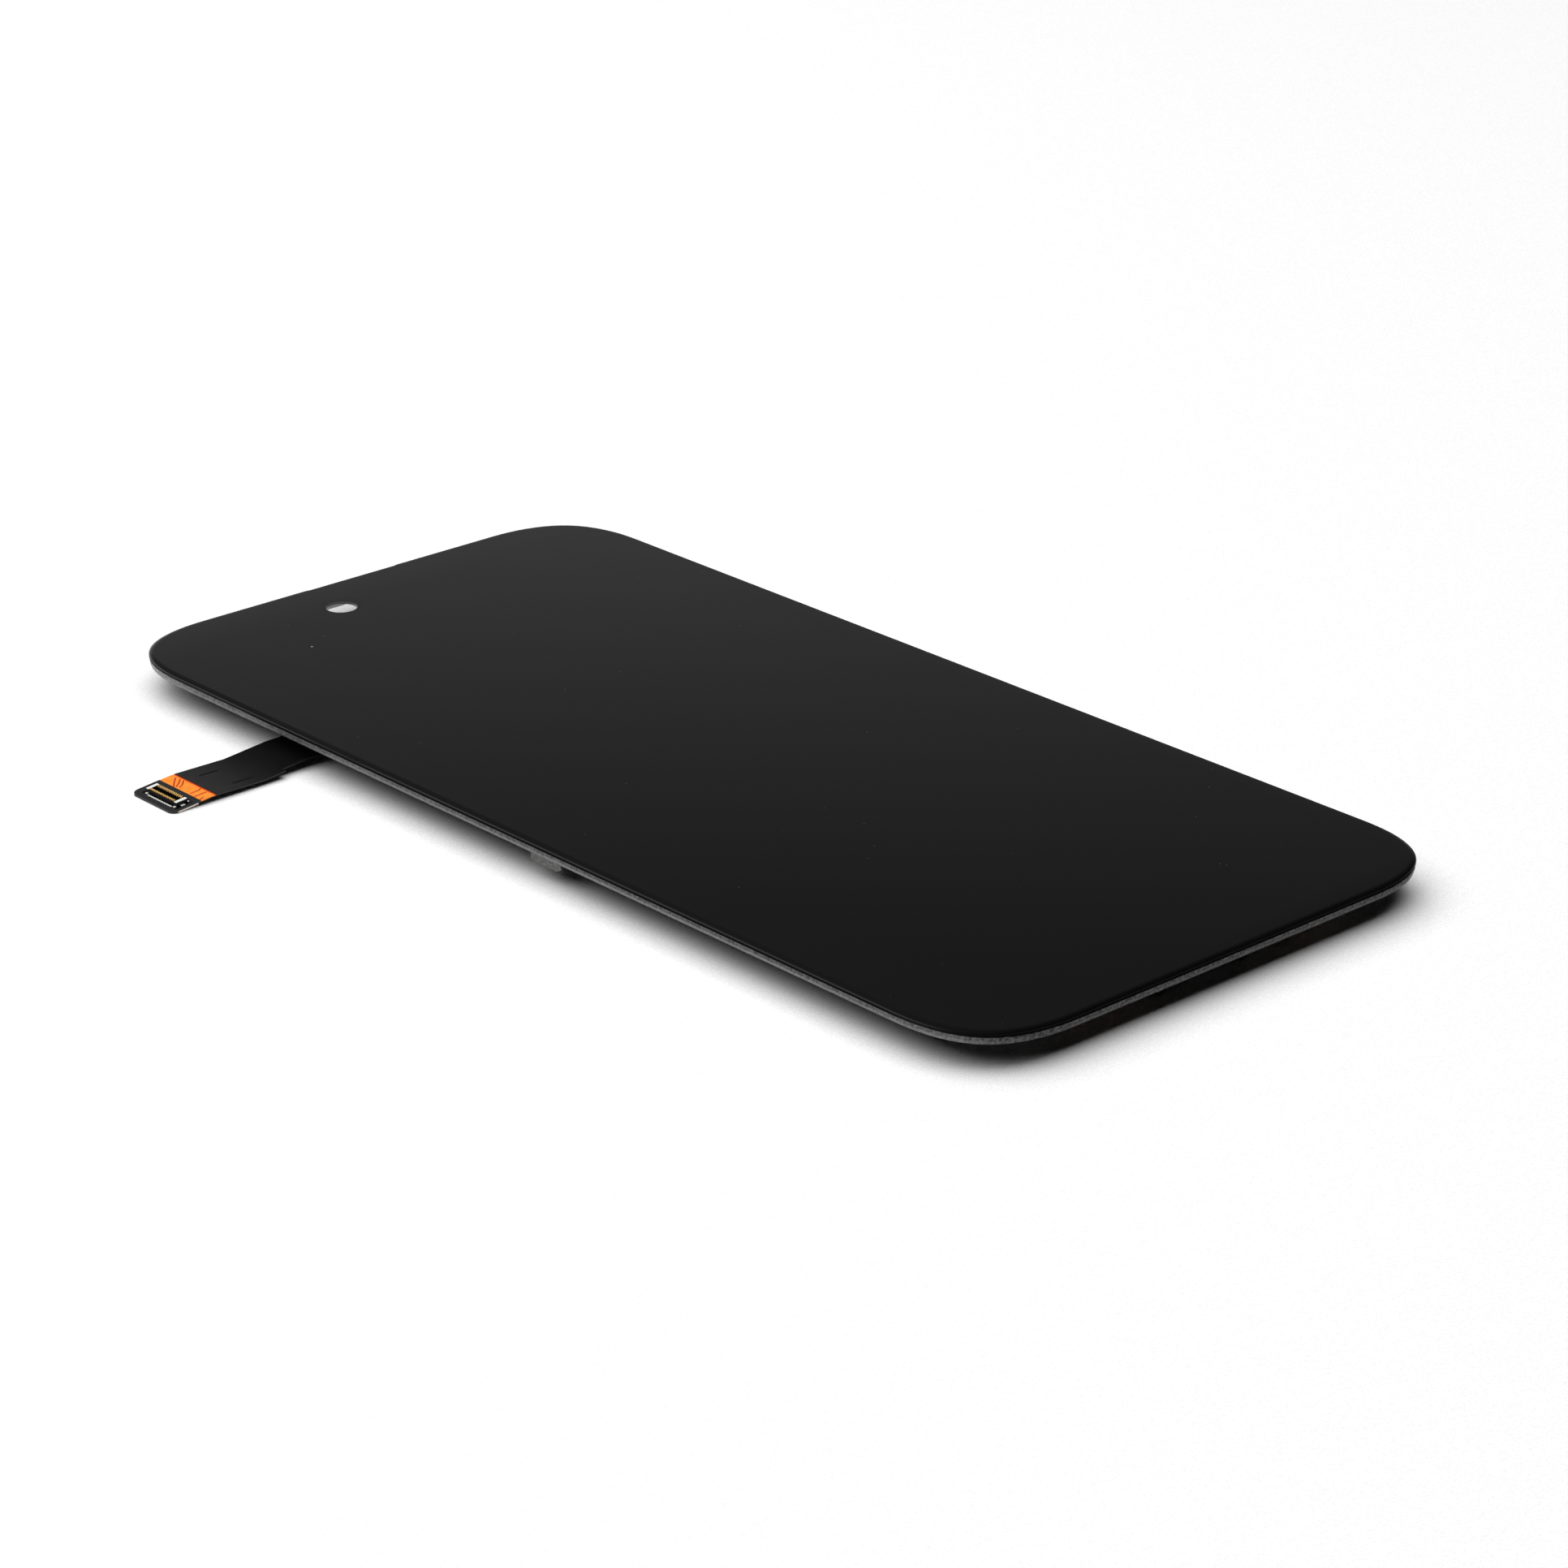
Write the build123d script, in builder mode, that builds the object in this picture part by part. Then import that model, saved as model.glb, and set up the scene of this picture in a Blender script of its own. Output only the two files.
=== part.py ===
import os
from math import cos, radians, sin

from build123d import *

os.makedirs("parts", exist_ok=True)

# A phone's front screen module, lying screen up. All sizes are in millimetres.
# The origin is the centre of the viewing face, +Z out of the screen, +Y to the camera end.

# Cover glass
glass_width = 69.7
glass_length = 145.2
glass_thickness = 0.50
corner_reach = 13.0
corner_pull = 0.70
rim_width = 0.65
rim_drop = 0.28
rim_steps = 3
notch_width = 12.9
notch_slope = 0.7
notch_depth = 0.45

# Camera hole and sensor window, side by side under the glass
camera_x = -6.9
camera_below_edge = 7.3
camera_radius = 1.9
sensor_x = 3.4
sensor_window_length = 12.4
sensor_window_width = 3.6
sensor_film_thickness = 0.05
sensor_film_gap = 0.10
gasket_gap = 0.55
gasket_width = 0.50
gasket_height = 0.22

# Laminated layers under the glass, from the front to the back
bond_thickness = 0.10
polarizer_thickness = 0.08
panel_thickness = 0.15
foam_thickness = 0.10
spreader_thickness = 0.08
plate_thickness = 0.20
panel_inset = 1.35
foam_step = 0.40
spreader_step = 0.20

# Bezel frame and the tape that holds the glass to it
tape_thickness = 0.16
tape_width = 0.80
tape_inset = 0.30
frame_inset = 0.06
frame_height = 0.79
wall_width = 1.10
shelf_width = 1.80
top_bar_width = 4.90
frame_taper_height = 0.42
frame_taper_inset = 0.15
bay_length = 6.7

# Folded end of the display panel and the driver chip on it
fold_width = 40.0
fold_gap = 0.20
fold_relief = 0.60
panel_end_inset = 1.90
panel_tail_length = 8.6
driver_length = 30.0
driver_width = 1.3
driver_height = 0.30
driver_from_fold = 5.6

# Flexible main board on the back
board_thickness = 0.20
board_foot_length = 14.0
board_foot_margin = 2.0
board_overlap = 2.0
stem_width = 13.0
head_width = 22.0
head_length = 26.0
head_from_edge = 6.45
head_from_end = 16.6
board_corner = 1.2
adhesive_inset = 0.60

# Chips and small parts on the board, set in from the edges of its head
chip_margin = 2.4
chip_chamfer = 0.1
touch_chip_side = 5.2
touch_chip_height = 0.60
power_chip_length = 3.6
power_chip_width = 2.8
power_chip_height = 0.50
memory_chip_length = 3.0
memory_chip_width = 2.0
memory_chip_height = 0.45
capacitor_length = 1.0
capacitor_width = 0.5
capacitor_height = 0.5
capacitor_pitch = 1.3
capacitor_columns = 7
capacitor_rows = 2
inductor_length = 2.0
inductor_width = 1.6
inductor_height = 0.9
inductor_corner = 0.2
inductor_pitch = 3.0
can_length = 10.0
can_width = 8.0
can_height = 1.00
can_wall = 0.15
can_corner = 0.5

# Flex tail with its connector, reaching out past the left long edge
tail_core = 0.10
film_thickness = 0.04
tail_from_head_top = 16.65
tail_neck_cut = 0.70
tail_reach = 18.1
tail_below_frame = 1.87
tail_root = 2.0
tail_bend_start = 0.6
tail_bend_end = 2.6
tail_crossing = 0.35
tail_droop_end = 5.45
tail_dip = 0.10
tail_bends = [1.6, 2.2, 4.0, 8.0, 8.0]
tip_length = 5.45
tip_margin = 0.70
tip_tilt = 5.6
tip_corner = 0.9
stiffener_thickness = 0.14
stiffener_length = 3.5
neck_end_from_edge = 2.7
window_from_tip = 3.85
window_width = 2.05

# Board to board connector on the tail's tip
connector_from_tip = 1.88
connector_aside = 0.30
housing_width = 1.50
housing_end_gap = 0.20
housing_height = 0.50
housing_floor = 0.14
housing_wall = 0.26
contact_count = 13
contact_pitch = 0.35
contact_width = 0.20
contact_strip = 0.07
contact_lip_margin = 0.08
foot_length = 0.28
end_clip_length = 0.45
end_clip_metal = 0.07
end_leg_width = 0.50
end_foot_width = 0.30
film_gap = 0.12

# Clips, hooks and screw lugs that hold the module in a phone
clip_y = -6.1
clip_length = 5.0
clip_drop = 1.15
clip_thickness = 0.20
clip_flange = 1.30
clip_inset = 0.55
clip_end_cut = 0.75
hook_x = 22.0
hook_width = 6.0
hook_thickness = 0.25
hook_lip = 0.90
hook_flange = 2.2
hook_inset = 1.5
lug_x = 6.15
lug_radius = 1.0
lug_depth = 2.2
lug_face_inset = 3.95
insert_outer_radius = 0.72
screw_radius = 0.45
lug_flange_thickness = 0.20
lug_flange_inset = 0.50
lug_flange_side = 2.4
overall_depth = 4.50

# Conductive foam pads on the back plate, in a row along its right side
pad_length = 6.0
pad_width = 3.0
pad_height = 0.55
pad_from_edge = 10.85
pad_spacing = 38.0
pad_count = 3

# Heights of the layers, worked out from the thicknesses above
glass_back = -glass_thickness
bond_back = glass_back - bond_thickness
polarizer_back = bond_back - polarizer_thickness
panel_back = polarizer_back - panel_thickness
foam_back = panel_back - foam_thickness
spreader_back = foam_back - spreader_thickness
plate_back = spreader_back - plate_thickness
wall_top = glass_back - tape_thickness
frame_bottom = wall_top - frame_height
rest_level = -overall_depth

# Edges and lines that several pieces share
glass_left = -glass_width / 2
glass_end = glass_length / 2
camera_y = glass_end - camera_below_edge
bar_inner_y = glass_end - frame_inset - top_bar_width
bay_low_y = bar_inner_y - bay_length
wall_inner_inset = frame_inset + wall_width
shelf_inner_inset = wall_inner_inset + shelf_width
fold_y = -glass_end + panel_end_inset
fold_middle_z = (polarizer_back + plate_back - panel_thickness) / 2
fold_outer_radius = (polarizer_back - plate_back + panel_thickness) / 2
fold_inner_radius = fold_outer_radius - panel_thickness
panel_tail_end = fold_y + panel_tail_length
driver_y = fold_y + driver_from_fold
board_top = plate_back - panel_thickness
board_back = board_top - board_thickness
head_left = glass_left + head_from_edge
head_top = glass_end - head_from_end
tail_middle_y = head_top - tail_from_head_top

# The connector's length follows its contacts, and the tail's width follows the connector
contact_span = contact_pitch * (contact_count - 1) + contact_width
housing_length = contact_span + 2 * (end_clip_length + housing_end_gap)
pad_field_length = housing_length + 2 * (foot_length + film_gap)
pad_field_width = housing_width + 2 * (foot_length + film_gap)
tail_width = pad_field_length + 2 * tip_margin


def phone_outline(inset):
    # The front's rounded oblong, drawn in by the inset, with smooth corners
    half_x = glass_width / 2 - inset
    half_y = glass_length / 2 - inset
    reach = corner_reach - inset
    pull = corner_pull * reach
    with BuildSketch() as outline:
        with BuildLine():
            side = Line((half_x, 0), (half_x, half_y - reach))
            corner = Bezier(
                side @ 1,
                (half_x, half_y - reach + pull),
                (half_x - reach + pull, half_y),
                (half_x - reach, half_y),
            )
            Line(corner @ 1, (0, half_y))
            mirror(about=Plane.YZ)
            mirror(about=Plane.XZ)
        make_face()
    return outline.sketch


def notch_outline():
    # The shallow dip for the earpiece in the end edge, with sloped ends
    low = notch_width / 2
    bottom_y = glass_end - notch_depth
    rise = notch_slope / notch_depth
    with BuildSketch() as dip:
        with BuildLine():
            Polyline(
                (-low, bottom_y),
                (low, bottom_y),
                (low + 3 * notch_depth * rise, bottom_y + 3 * notch_depth),
                (-low - 3 * notch_depth * rise, bottom_y + 3 * notch_depth),
                close=True,
            )
        make_face()
    return dip.sketch


def band(low_y, high_y):
    # A wide strip used to keep only part of the outline's length
    with BuildSketch() as strip:
        with Locations((0, (low_y + high_y) / 2)):
            Rectangle(glass_width + 2, high_y - low_y)
    return strip.sketch


# Cover glass, with its rounded rim lofted through a quarter of an ellipse
rim_angles = [90 * step / rim_steps for step in range(rim_steps + 1)]
with BuildPart() as cover_glass:
    with BuildSketch(Plane.XY.offset(-rim_drop)):
        add(phone_outline(0))
    extrude(amount=rim_drop - glass_thickness)
    for angle in rim_angles:
        with BuildSketch(Plane.XY.offset(-rim_drop * (1 - sin(radians(angle))))):
            add(phone_outline(rim_width * (1 - cos(radians(angle)))))
    loft()
    with BuildSketch(Plane.XY.offset(glass_back)):
        add(notch_outline())
    extrude(amount=glass_thickness, mode=Mode.SUBTRACT)
cover_glass.part.label = "cover_glass"
export_step(cover_glass.part, "parts/cover_glass.step")

# Double sided tape between the glass and the frame, a thin dark joint from outside
with BuildPart() as bezel_tape:
    with BuildSketch(Plane.XY.offset(glass_back)):
        add(phone_outline(tape_inset))
        add(phone_outline(tape_inset + tape_width), mode=Mode.SUBTRACT)
        add(notch_outline(), mode=Mode.SUBTRACT)
    extrude(amount=-tape_thickness)
bezel_tape.part.label = "bezel_tape"
export_step(bezel_tape.part, "parts/bezel_tape.step")


def layer_openings():
    # The round camera hole and the long sensor window, cut through each front layer
    with BuildSketch() as openings:
        with Locations((camera_x, camera_y)):
            Circle(camera_radius)
        with Locations((sensor_x, camera_y)):
            SlotOverall(sensor_window_length, sensor_window_width)
    return openings.sketch


# Optical adhesive that bonds the screen to the glass
with BuildPart() as bond_adhesive:
    with BuildSketch(Plane.XY.offset(glass_back)):
        add(phone_outline(panel_inset))
        add(layer_openings(), mode=Mode.SUBTRACT)
    extrude(amount=-bond_thickness)
bond_adhesive.part.label = "bond_adhesive"
export_step(bond_adhesive.part, "parts/bond_adhesive.step")

# Polarizer film
with BuildPart() as polarizer:
    with BuildSketch(Plane.XY.offset(bond_back)):
        add(phone_outline(panel_inset))
        add(band(fold_y, glass_end), mode=Mode.INTERSECT)
        add(layer_openings(), mode=Mode.SUBTRACT)
    extrude(amount=-polarizer_thickness)
polarizer.part.label = "polarizer"
export_step(polarizer.part, "parts/polarizer.step")

# Display panel, whose far end folds round behind the back plate
with BuildPart() as display_panel:
    with BuildSketch(Plane.XY.offset(polarizer_back)):
        add(phone_outline(panel_inset))
        add(band(fold_y, glass_end), mode=Mode.INTERSECT)
        add(layer_openings(), mode=Mode.SUBTRACT)
    extrude(amount=-panel_thickness)
    with BuildSketch(Plane.YZ.offset(-fold_width / 2)):
        with Locations((fold_y, fold_middle_z)):
            Circle(fold_outer_radius)
            Circle(fold_inner_radius, mode=Mode.SUBTRACT)
            Rectangle(
                2 * fold_outer_radius,
                2 * fold_outer_radius,
                align=(Align.MIN, Align.CENTER),
                mode=Mode.SUBTRACT,
            )
        with Locations((fold_y, plate_back)):
            Rectangle(panel_tail_length, panel_thickness, align=(Align.MIN, Align.MAX))
    extrude(amount=fold_width)
display_panel.part.label = "display_panel"
export_step(display_panel.part, "parts/display_panel.step")

# Driver chip bonded along the folded end
with BuildPart() as driver_chip:
    with BuildSketch(Plane.XY.offset(board_top)):
        with Locations((0, driver_y)):
            Rectangle(driver_length, driver_width)
    extrude(amount=-driver_height)
driver_chip.part.label = "driver_chip"
export_step(driver_chip.part, "parts/driver_chip.step")


def back_sheet(step):
    # The sheets behind the panel stop at the sensor bay and short of the fold
    with BuildSketch() as sheet:
        add(phone_outline(panel_inset + step))
        add(band(fold_y + fold_gap + step, bay_low_y - step), mode=Mode.INTERSECT)
    return sheet.sketch


# Cushion foam, heat spreader and stiff back plate
with BuildPart() as cushion_foam:
    with BuildSketch(Plane.XY.offset(panel_back)):
        add(back_sheet(foam_step))
    extrude(amount=-foam_thickness)
cushion_foam.part.label = "cushion_foam"
export_step(cushion_foam.part, "parts/cushion_foam.step")

with BuildPart() as heat_spreader:
    with BuildSketch(Plane.XY.offset(foam_back)):
        add(back_sheet(spreader_step))
    extrude(amount=-spreader_thickness)
heat_spreader.part.label = "heat_spreader"
export_step(heat_spreader.part, "parts/heat_spreader.step")

with BuildPart() as back_plate:
    with BuildSketch(Plane.XY.offset(spreader_back)):
        add(back_sheet(0))
    extrude(amount=-plate_thickness)
back_plate.part.label = "back_plate"
export_step(back_plate.part, "parts/back_plate.step")

# Bezel frame: a wall under the glass edge that tapers in below, a shelf for the plate and a broad top bar
with BuildPart() as bezel_frame:
    with BuildSketch(Plane.XY.offset(frame_bottom)):
        add(phone_outline(frame_inset))
    extrude(amount=frame_height)
    with BuildSketch(Plane.XY.offset(plate_back)):
        add(phone_outline(wall_inner_inset))
        add(band(-glass_end, bar_inner_y), mode=Mode.INTERSECT)
    extrude(amount=wall_top - plate_back, mode=Mode.SUBTRACT)
    with BuildSketch(Plane.XY.offset(frame_bottom)):
        add(phone_outline(shelf_inner_inset))
        add(band(-glass_end, bar_inner_y), mode=Mode.INTERSECT)
    extrude(amount=frame_height, mode=Mode.SUBTRACT)
    with BuildSketch(Plane.XY.offset(panel_back)):
        add(phone_outline(wall_inner_inset))
    extrude(amount=wall_top - panel_back, mode=Mode.SUBTRACT)
    with BuildSketch(Plane.XY.offset(frame_bottom)):
        with Locations((0, -glass_end + wall_inner_inset)):
            Rectangle(fold_width + 2 * fold_relief, 2 * shelf_width, align=(Align.CENTER, Align.MIN))
    extrude(amount=frame_height, mode=Mode.SUBTRACT)
    with BuildSketch(Plane.XY.offset(frame_bottom)):
        add(notch_outline())
    extrude(amount=frame_height, mode=Mode.SUBTRACT)
    base = bezel_frame.faces().sort_by(Axis.Z)[0]
    chamfer(base.outer_wire().edges(), frame_taper_inset, frame_taper_height, reference=base)
bezel_frame.part.label = "bezel_frame"
export_step(bezel_frame.part, "parts/bezel_frame.step")

# Foam ring behind the panel round the camera hole
with BuildPart() as camera_gasket:
    with BuildSketch(Plane.XY.offset(panel_back)):
        with Locations((camera_x, camera_y)):
            Circle(camera_radius + gasket_gap + gasket_width)
            Circle(camera_radius + gasket_gap, mode=Mode.SUBTRACT)
        add(band(bay_low_y, bar_inner_y), mode=Mode.INTERSECT)
    extrude(amount=-gasket_height)
camera_gasket.part.label = "camera_gasket"
export_step(camera_gasket.part, "parts/camera_gasket.step")

# Dark film under the glass in the sensor window
with BuildPart() as sensor_film:
    with BuildSketch(Plane.XY.offset(glass_back)):
        with Locations((sensor_x, camera_y)):
            SlotOverall(
                sensor_window_length - 2 * sensor_film_gap,
                sensor_window_width - 2 * sensor_film_gap,
            )
    extrude(amount=-sensor_film_thickness)
sensor_film.part.label = "sensor_film"
export_step(sensor_film.part, "parts/sensor_film.step")

# Places on the flexible board
foot_low_y = panel_tail_end - board_overlap
foot_high_y = foot_low_y + board_foot_length
head_low_y = head_top - head_length
stem_left = head_left + (head_width - stem_width) / 2
foot_right = fold_width / 2 - board_foot_margin


def board_outline(inset, low_y):
    # The board's foot across the panel's end, a stem up the back and a head for the chips
    with BuildSketch() as shape:
        with Locations((stem_left + inset, low_y)):
            Rectangle(
                foot_right - stem_left - 2 * inset,
                foot_high_y - inset - low_y,
                align=(Align.MIN, Align.MIN),
            )
        with Locations((stem_left + inset, foot_high_y - inset - stem_width / 4)):
            Rectangle(
                stem_width - 2 * inset,
                head_low_y - foot_high_y + 2 * inset + stem_width / 2,
                align=(Align.MIN, Align.MIN),
            )
        with Locations((head_left + inset, head_low_y + inset)):
            Rectangle(head_width - 2 * inset, head_length - 2 * inset, align=(Align.MIN, Align.MIN))
        fillet(shape.vertices(), board_corner)
    return shape.sketch


# Main flexible board: a thicker part bonded to the back plate and a thin tail on its left
tip_slope = sin(radians(tip_tilt)) / cos(radians(tip_tilt))
tip_x = glass_left - tail_reach
tip_under = stiffener_thickness + tail_core / 2
tip_middle_z = rest_level + tip_under / cos(radians(tip_tilt))
knee_x = tip_x + tip_length
knee_z = tip_middle_z + tip_length * tip_slope
dip_z = knee_z - tail_dip
crossing_z = frame_bottom - tail_below_frame
tail_low_y = tail_middle_y - tail_width / 2
neck_end_x = glass_left - neck_end_from_edge
film_start_x = head_left - film_gap
window_low_x = tip_x + window_from_tip
window_high_x = window_low_x + window_width
stiffener_end_x = tip_x + stiffener_length


def tail_strip(low, high):
    # A strip along the tail's middle line, between two heights above that line
    middle = (high + low) / 2
    with BuildPart() as strip:
        with BuildLine() as path:
            FilletPolyline(
                (head_left + tail_root, tail_middle_y, board_top - board_thickness / 2),
                (head_left - tail_bend_start, tail_middle_y, board_top - board_thickness / 2),
                (glass_left + tail_bend_end, tail_middle_y, crossing_z),
                (glass_left + tail_crossing, tail_middle_y, crossing_z),
                (glass_left - tail_droop_end, tail_middle_y, dip_z),
                (knee_x, tail_middle_y, knee_z),
                (tip_x - tip_length, tail_middle_y, tip_middle_z - tip_length * tip_slope),
                radius=tail_bends,
            )
        across = Plane(origin=path.line @ 0, x_dir=(0, -1, 0), z_dir=path.line % 0)
        with BuildSketch(across):
            with Locations((0, middle)):
                Rectangle(tail_width, high - low)
        sweep(path=path.line)
    return strip.part


def tail_plan(low_x, high_x):
    # The tail seen from above between two places along it, with rounded tip corners
    with BuildSketch() as plan:
        with Locations((tip_x, tail_middle_y)):
            Rectangle(high_x - tip_x, tail_width, align=(Align.MIN, Align.CENTER))
        fillet(plan.vertices().group_by(Axis.X)[0], tip_corner)
        with Locations((neck_end_x, tail_low_y)):
            Rectangle(
                head_left - neck_end_x,
                tail_neck_cut,
                align=(Align.MIN, Align.MIN),
                mode=Mode.SUBTRACT,
            )
        with Locations((low_x, tail_middle_y)):
            Rectangle(
                high_x - low_x,
                2 * tail_width,
                align=(Align.MIN, Align.CENTER),
                mode=Mode.INTERSECT,
            )
    return plan.sketch


with BuildPart() as main_flex:
    add(tail_strip(-tail_core / 2, tail_core / 2))
    with BuildSketch(Plane.XY.offset(rest_level)):
        add(tail_plan(tip_x, head_left + tail_root))
    extrude(amount=overall_depth, mode=Mode.INTERSECT)
    with BuildSketch(Plane.XY.offset(board_top)):
        add(board_outline(0, foot_low_y))
    extrude(amount=-board_thickness)
main_flex.part.label = "main_flex"
export_step(main_flex.part, "parts/main_flex.step")

# Black cover films on the tail, which leave one band of bare orange film open on top
film_low = tail_core / 2
film_high = film_low + film_thickness
with BuildPart() as tail_cover_film:
    add(tail_strip(film_low, film_high))
    with BuildSketch(Plane.XY.offset(rest_level)):
        add(tail_plan(window_high_x, film_start_x))
    extrude(amount=overall_depth, mode=Mode.INTERSECT)
tail_cover_film.part.label = "tail_cover_film"
export_step(tail_cover_film.part, "parts/tail_cover_film.step")

# The connector's own plane, on top of the tail's tip, with its Y pointing out to the tip
tip_normal = (-sin(radians(tip_tilt)), 0, cos(radians(tip_tilt)))
connector_x = tip_x + connector_from_tip
connector_plane = Plane(
    origin=(
        connector_x - tail_core / 2 * sin(radians(tip_tilt)),
        tail_middle_y - connector_aside,
        tip_middle_z + connector_from_tip * tip_slope + tail_core / 2 * cos(radians(tip_tilt)),
    ),
    x_dir=(0, 1, 0),
    z_dir=tip_normal,
)

with BuildPart() as tip_cover_film:
    add(tail_strip(film_low, film_high))
    with BuildSketch(Plane.XY.offset(rest_level)):
        add(tail_plan(tip_x, window_low_x))
    extrude(amount=overall_depth, mode=Mode.INTERSECT)
    with BuildSketch(connector_plane.offset(-film_thickness)):
        Rectangle(pad_field_length, pad_field_width)
    extrude(amount=3 * film_thickness, mode=Mode.SUBTRACT)
tip_cover_film.part.label = "tip_cover_film"
export_step(tip_cover_film.part, "parts/tip_cover_film.step")

with BuildPart() as tail_under_film:
    add(tail_strip(-film_high, -film_low))
    with BuildSketch(Plane.XY.offset(rest_level)):
        add(tail_plan(stiffener_end_x + film_gap, film_start_x))
    extrude(amount=overall_depth, mode=Mode.INTERSECT)
tail_under_film.part.label = "tail_under_film"
export_step(tail_under_film.part, "parts/tail_under_film.step")

# Steel stiffener under the tip, which keeps the connector flat
with BuildPart() as stiffener:
    add(tail_strip(-tip_under, -film_low))
    with BuildSketch(Plane.XY.offset(rest_level - overall_depth)):
        add(tail_plan(tip_x, stiffener_end_x))
    extrude(amount=2 * overall_depth, mode=Mode.INTERSECT)
stiffener.part.label = "stiffener"
export_step(stiffener.part, "parts/stiffener.step")

# Gold contacts: a soldered foot outside, a run under the tub's wall, a face in its trench and a lip on top
wall_out = housing_width / 2
wall_in = wall_out - housing_wall
contact_face = wall_in - contact_strip
contact_top = housing_height + contact_strip
contact_profile = [
    (wall_out + foot_length, 0),
    (wall_out + foot_length, contact_strip),
    (wall_in, contact_strip),
    (wall_in, housing_height),
    (wall_out - contact_lip_margin, housing_height),
    (wall_out - contact_lip_margin, contact_top),
    (contact_face, contact_top),
    (contact_face, 0),
]
side_plane = Plane(
    origin=connector_plane.origin - connector_plane.x_dir * (contact_span / 2),
    x_dir=connector_plane.y_dir,
    z_dir=connector_plane.x_dir,
)
with BuildPart() as connector_contacts:
    for number in range(contact_count):
        with BuildSketch(side_plane.offset(number * contact_pitch)) as contact:
            with BuildLine():
                Polyline(*contact_profile, close=True)
            make_face()
            mirror(about=Plane.YZ)
        extrude(amount=contact_width)
connector_contacts.part.label = "connector_contacts"
export_step(connector_contacts.part, "parts/connector_contacts.step")

# Bright metal caps on the tub's two ends, each with a leg down through the tub and feet soldered beside it
with BuildPart() as connector_end_clips:
    for side in (-1, 1):
        tub_end = side * housing_length / 2
        foot_end = tub_end + side * foot_length
        leg = tub_end - side * end_clip_length / 2
        with BuildSketch(connector_plane.offset(housing_height)):
            with Locations((leg, 0)):
                Rectangle(end_clip_length, housing_width)
        extrude(amount=end_clip_metal)
        with BuildSketch(connector_plane):
            with Locations((leg, 0)):
                Rectangle(end_clip_metal, end_leg_width)
        extrude(amount=housing_height)
        with BuildSketch(connector_plane):
            with Locations((leg, 0)):
                Rectangle(end_foot_width, housing_width + 2 * foot_length)
            with Locations(((leg + foot_end) / 2, 0)):
                Rectangle(abs(foot_end - leg), end_leg_width)
        extrude(amount=end_clip_metal)
connector_end_clips.part.label = "connector_end_clips"
export_step(connector_end_clips.part, "parts/connector_end_clips.step")

# Connector housing, a low black tub moulded round the contacts' runs and the caps' legs
with BuildPart() as connector_housing:
    with BuildSketch(connector_plane):
        Rectangle(housing_length, housing_width)
    extrude(amount=housing_height)
    with BuildSketch(connector_plane.offset(housing_floor)):
        Rectangle(housing_length - 2 * end_clip_length, housing_width - 2 * housing_wall)
    extrude(amount=housing_height, mode=Mode.SUBTRACT)
    add(connector_contacts.part, mode=Mode.SUBTRACT)
    add(connector_end_clips.part, mode=Mode.SUBTRACT)
connector_housing.part.label = "connector_housing"
export_step(connector_housing.part, "parts/connector_housing.step")

# Adhesive sheet between the board and the back plate, beside the folded panel end
with BuildPart() as board_adhesive:
    with BuildSketch(Plane.XY.offset(plate_back)):
        add(board_outline(adhesive_inset, panel_tail_end + film_gap))
    extrude(amount=-panel_thickness)
board_adhesive.part.label = "board_adhesive"
export_step(board_adhesive.part, "parts/board_adhesive.step")

# Places on the board's head: a column down its right side, and two groups left of it
column_right = head_left + head_width - chip_margin
touch_chip_spot = (
    column_right - touch_chip_side / 2,
    head_low_y + chip_margin + touch_chip_side / 2,
)
can_spot = (column_right - can_length / 2, head_top - chip_margin - can_width / 2)
column_gap_low = touch_chip_spot[1] + touch_chip_side / 2
column_gap_high = can_spot[1] - can_width / 2
capacitor_span = capacitor_pitch * (capacitor_columns - 1) + capacitor_width
capacitor_spot = (column_right - capacitor_span / 2, (column_gap_low + column_gap_high) / 2)
memory_chip_spot = (
    head_left + chip_margin + memory_chip_length / 2,
    head_top - chip_margin - memory_chip_width / 2,
)
inductor_span = inductor_pitch + inductor_length
inductor_spot = (
    touch_chip_spot[0] - touch_chip_side / 2 - chip_margin - inductor_span / 2,
    touch_chip_spot[1],
)


def flat_chip(spot, length, width, height):
    # A moulded chip package hanging under the board
    with BuildPart() as chip:
        with BuildSketch(Plane.XY.offset(board_back)):
            with Locations(spot):
                Rectangle(length, width)
        extrude(amount=-height)
        chamfer(chip.faces().sort_by(Axis.Z)[0].edges(), chip_chamfer)
    return chip.part


with BuildPart() as touch_chip:
    add(flat_chip(touch_chip_spot, touch_chip_side, touch_chip_side, touch_chip_height))
touch_chip.part.label = "touch_chip"
export_step(touch_chip.part, "parts/touch_chip.step")

with BuildPart() as power_chip:
    add(flat_chip(can_spot, power_chip_length, power_chip_width, power_chip_height))
power_chip.part.label = "power_chip"
export_step(power_chip.part, "parts/power_chip.step")

with BuildPart() as memory_chip:
    add(flat_chip(memory_chip_spot, memory_chip_length, memory_chip_width, memory_chip_height))
memory_chip.part.label = "memory_chip"
export_step(memory_chip.part, "parts/memory_chip.step")

# Pressed shield can over the power chip
with BuildPart() as shield_can:
    with BuildSketch(Plane.XY.offset(board_back)):
        with Locations(can_spot):
            RectangleRounded(can_length, can_width, can_corner)
    extrude(amount=-can_height)
    with BuildSketch(Plane.XY.offset(board_back)):
        with Locations(can_spot):
            Rectangle(can_length - 2 * can_wall, can_width - 2 * can_wall)
    extrude(amount=can_wall - can_height, mode=Mode.SUBTRACT)
shield_can.part.label = "shield_can"
export_step(shield_can.part, "parts/shield_can.step")

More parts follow.
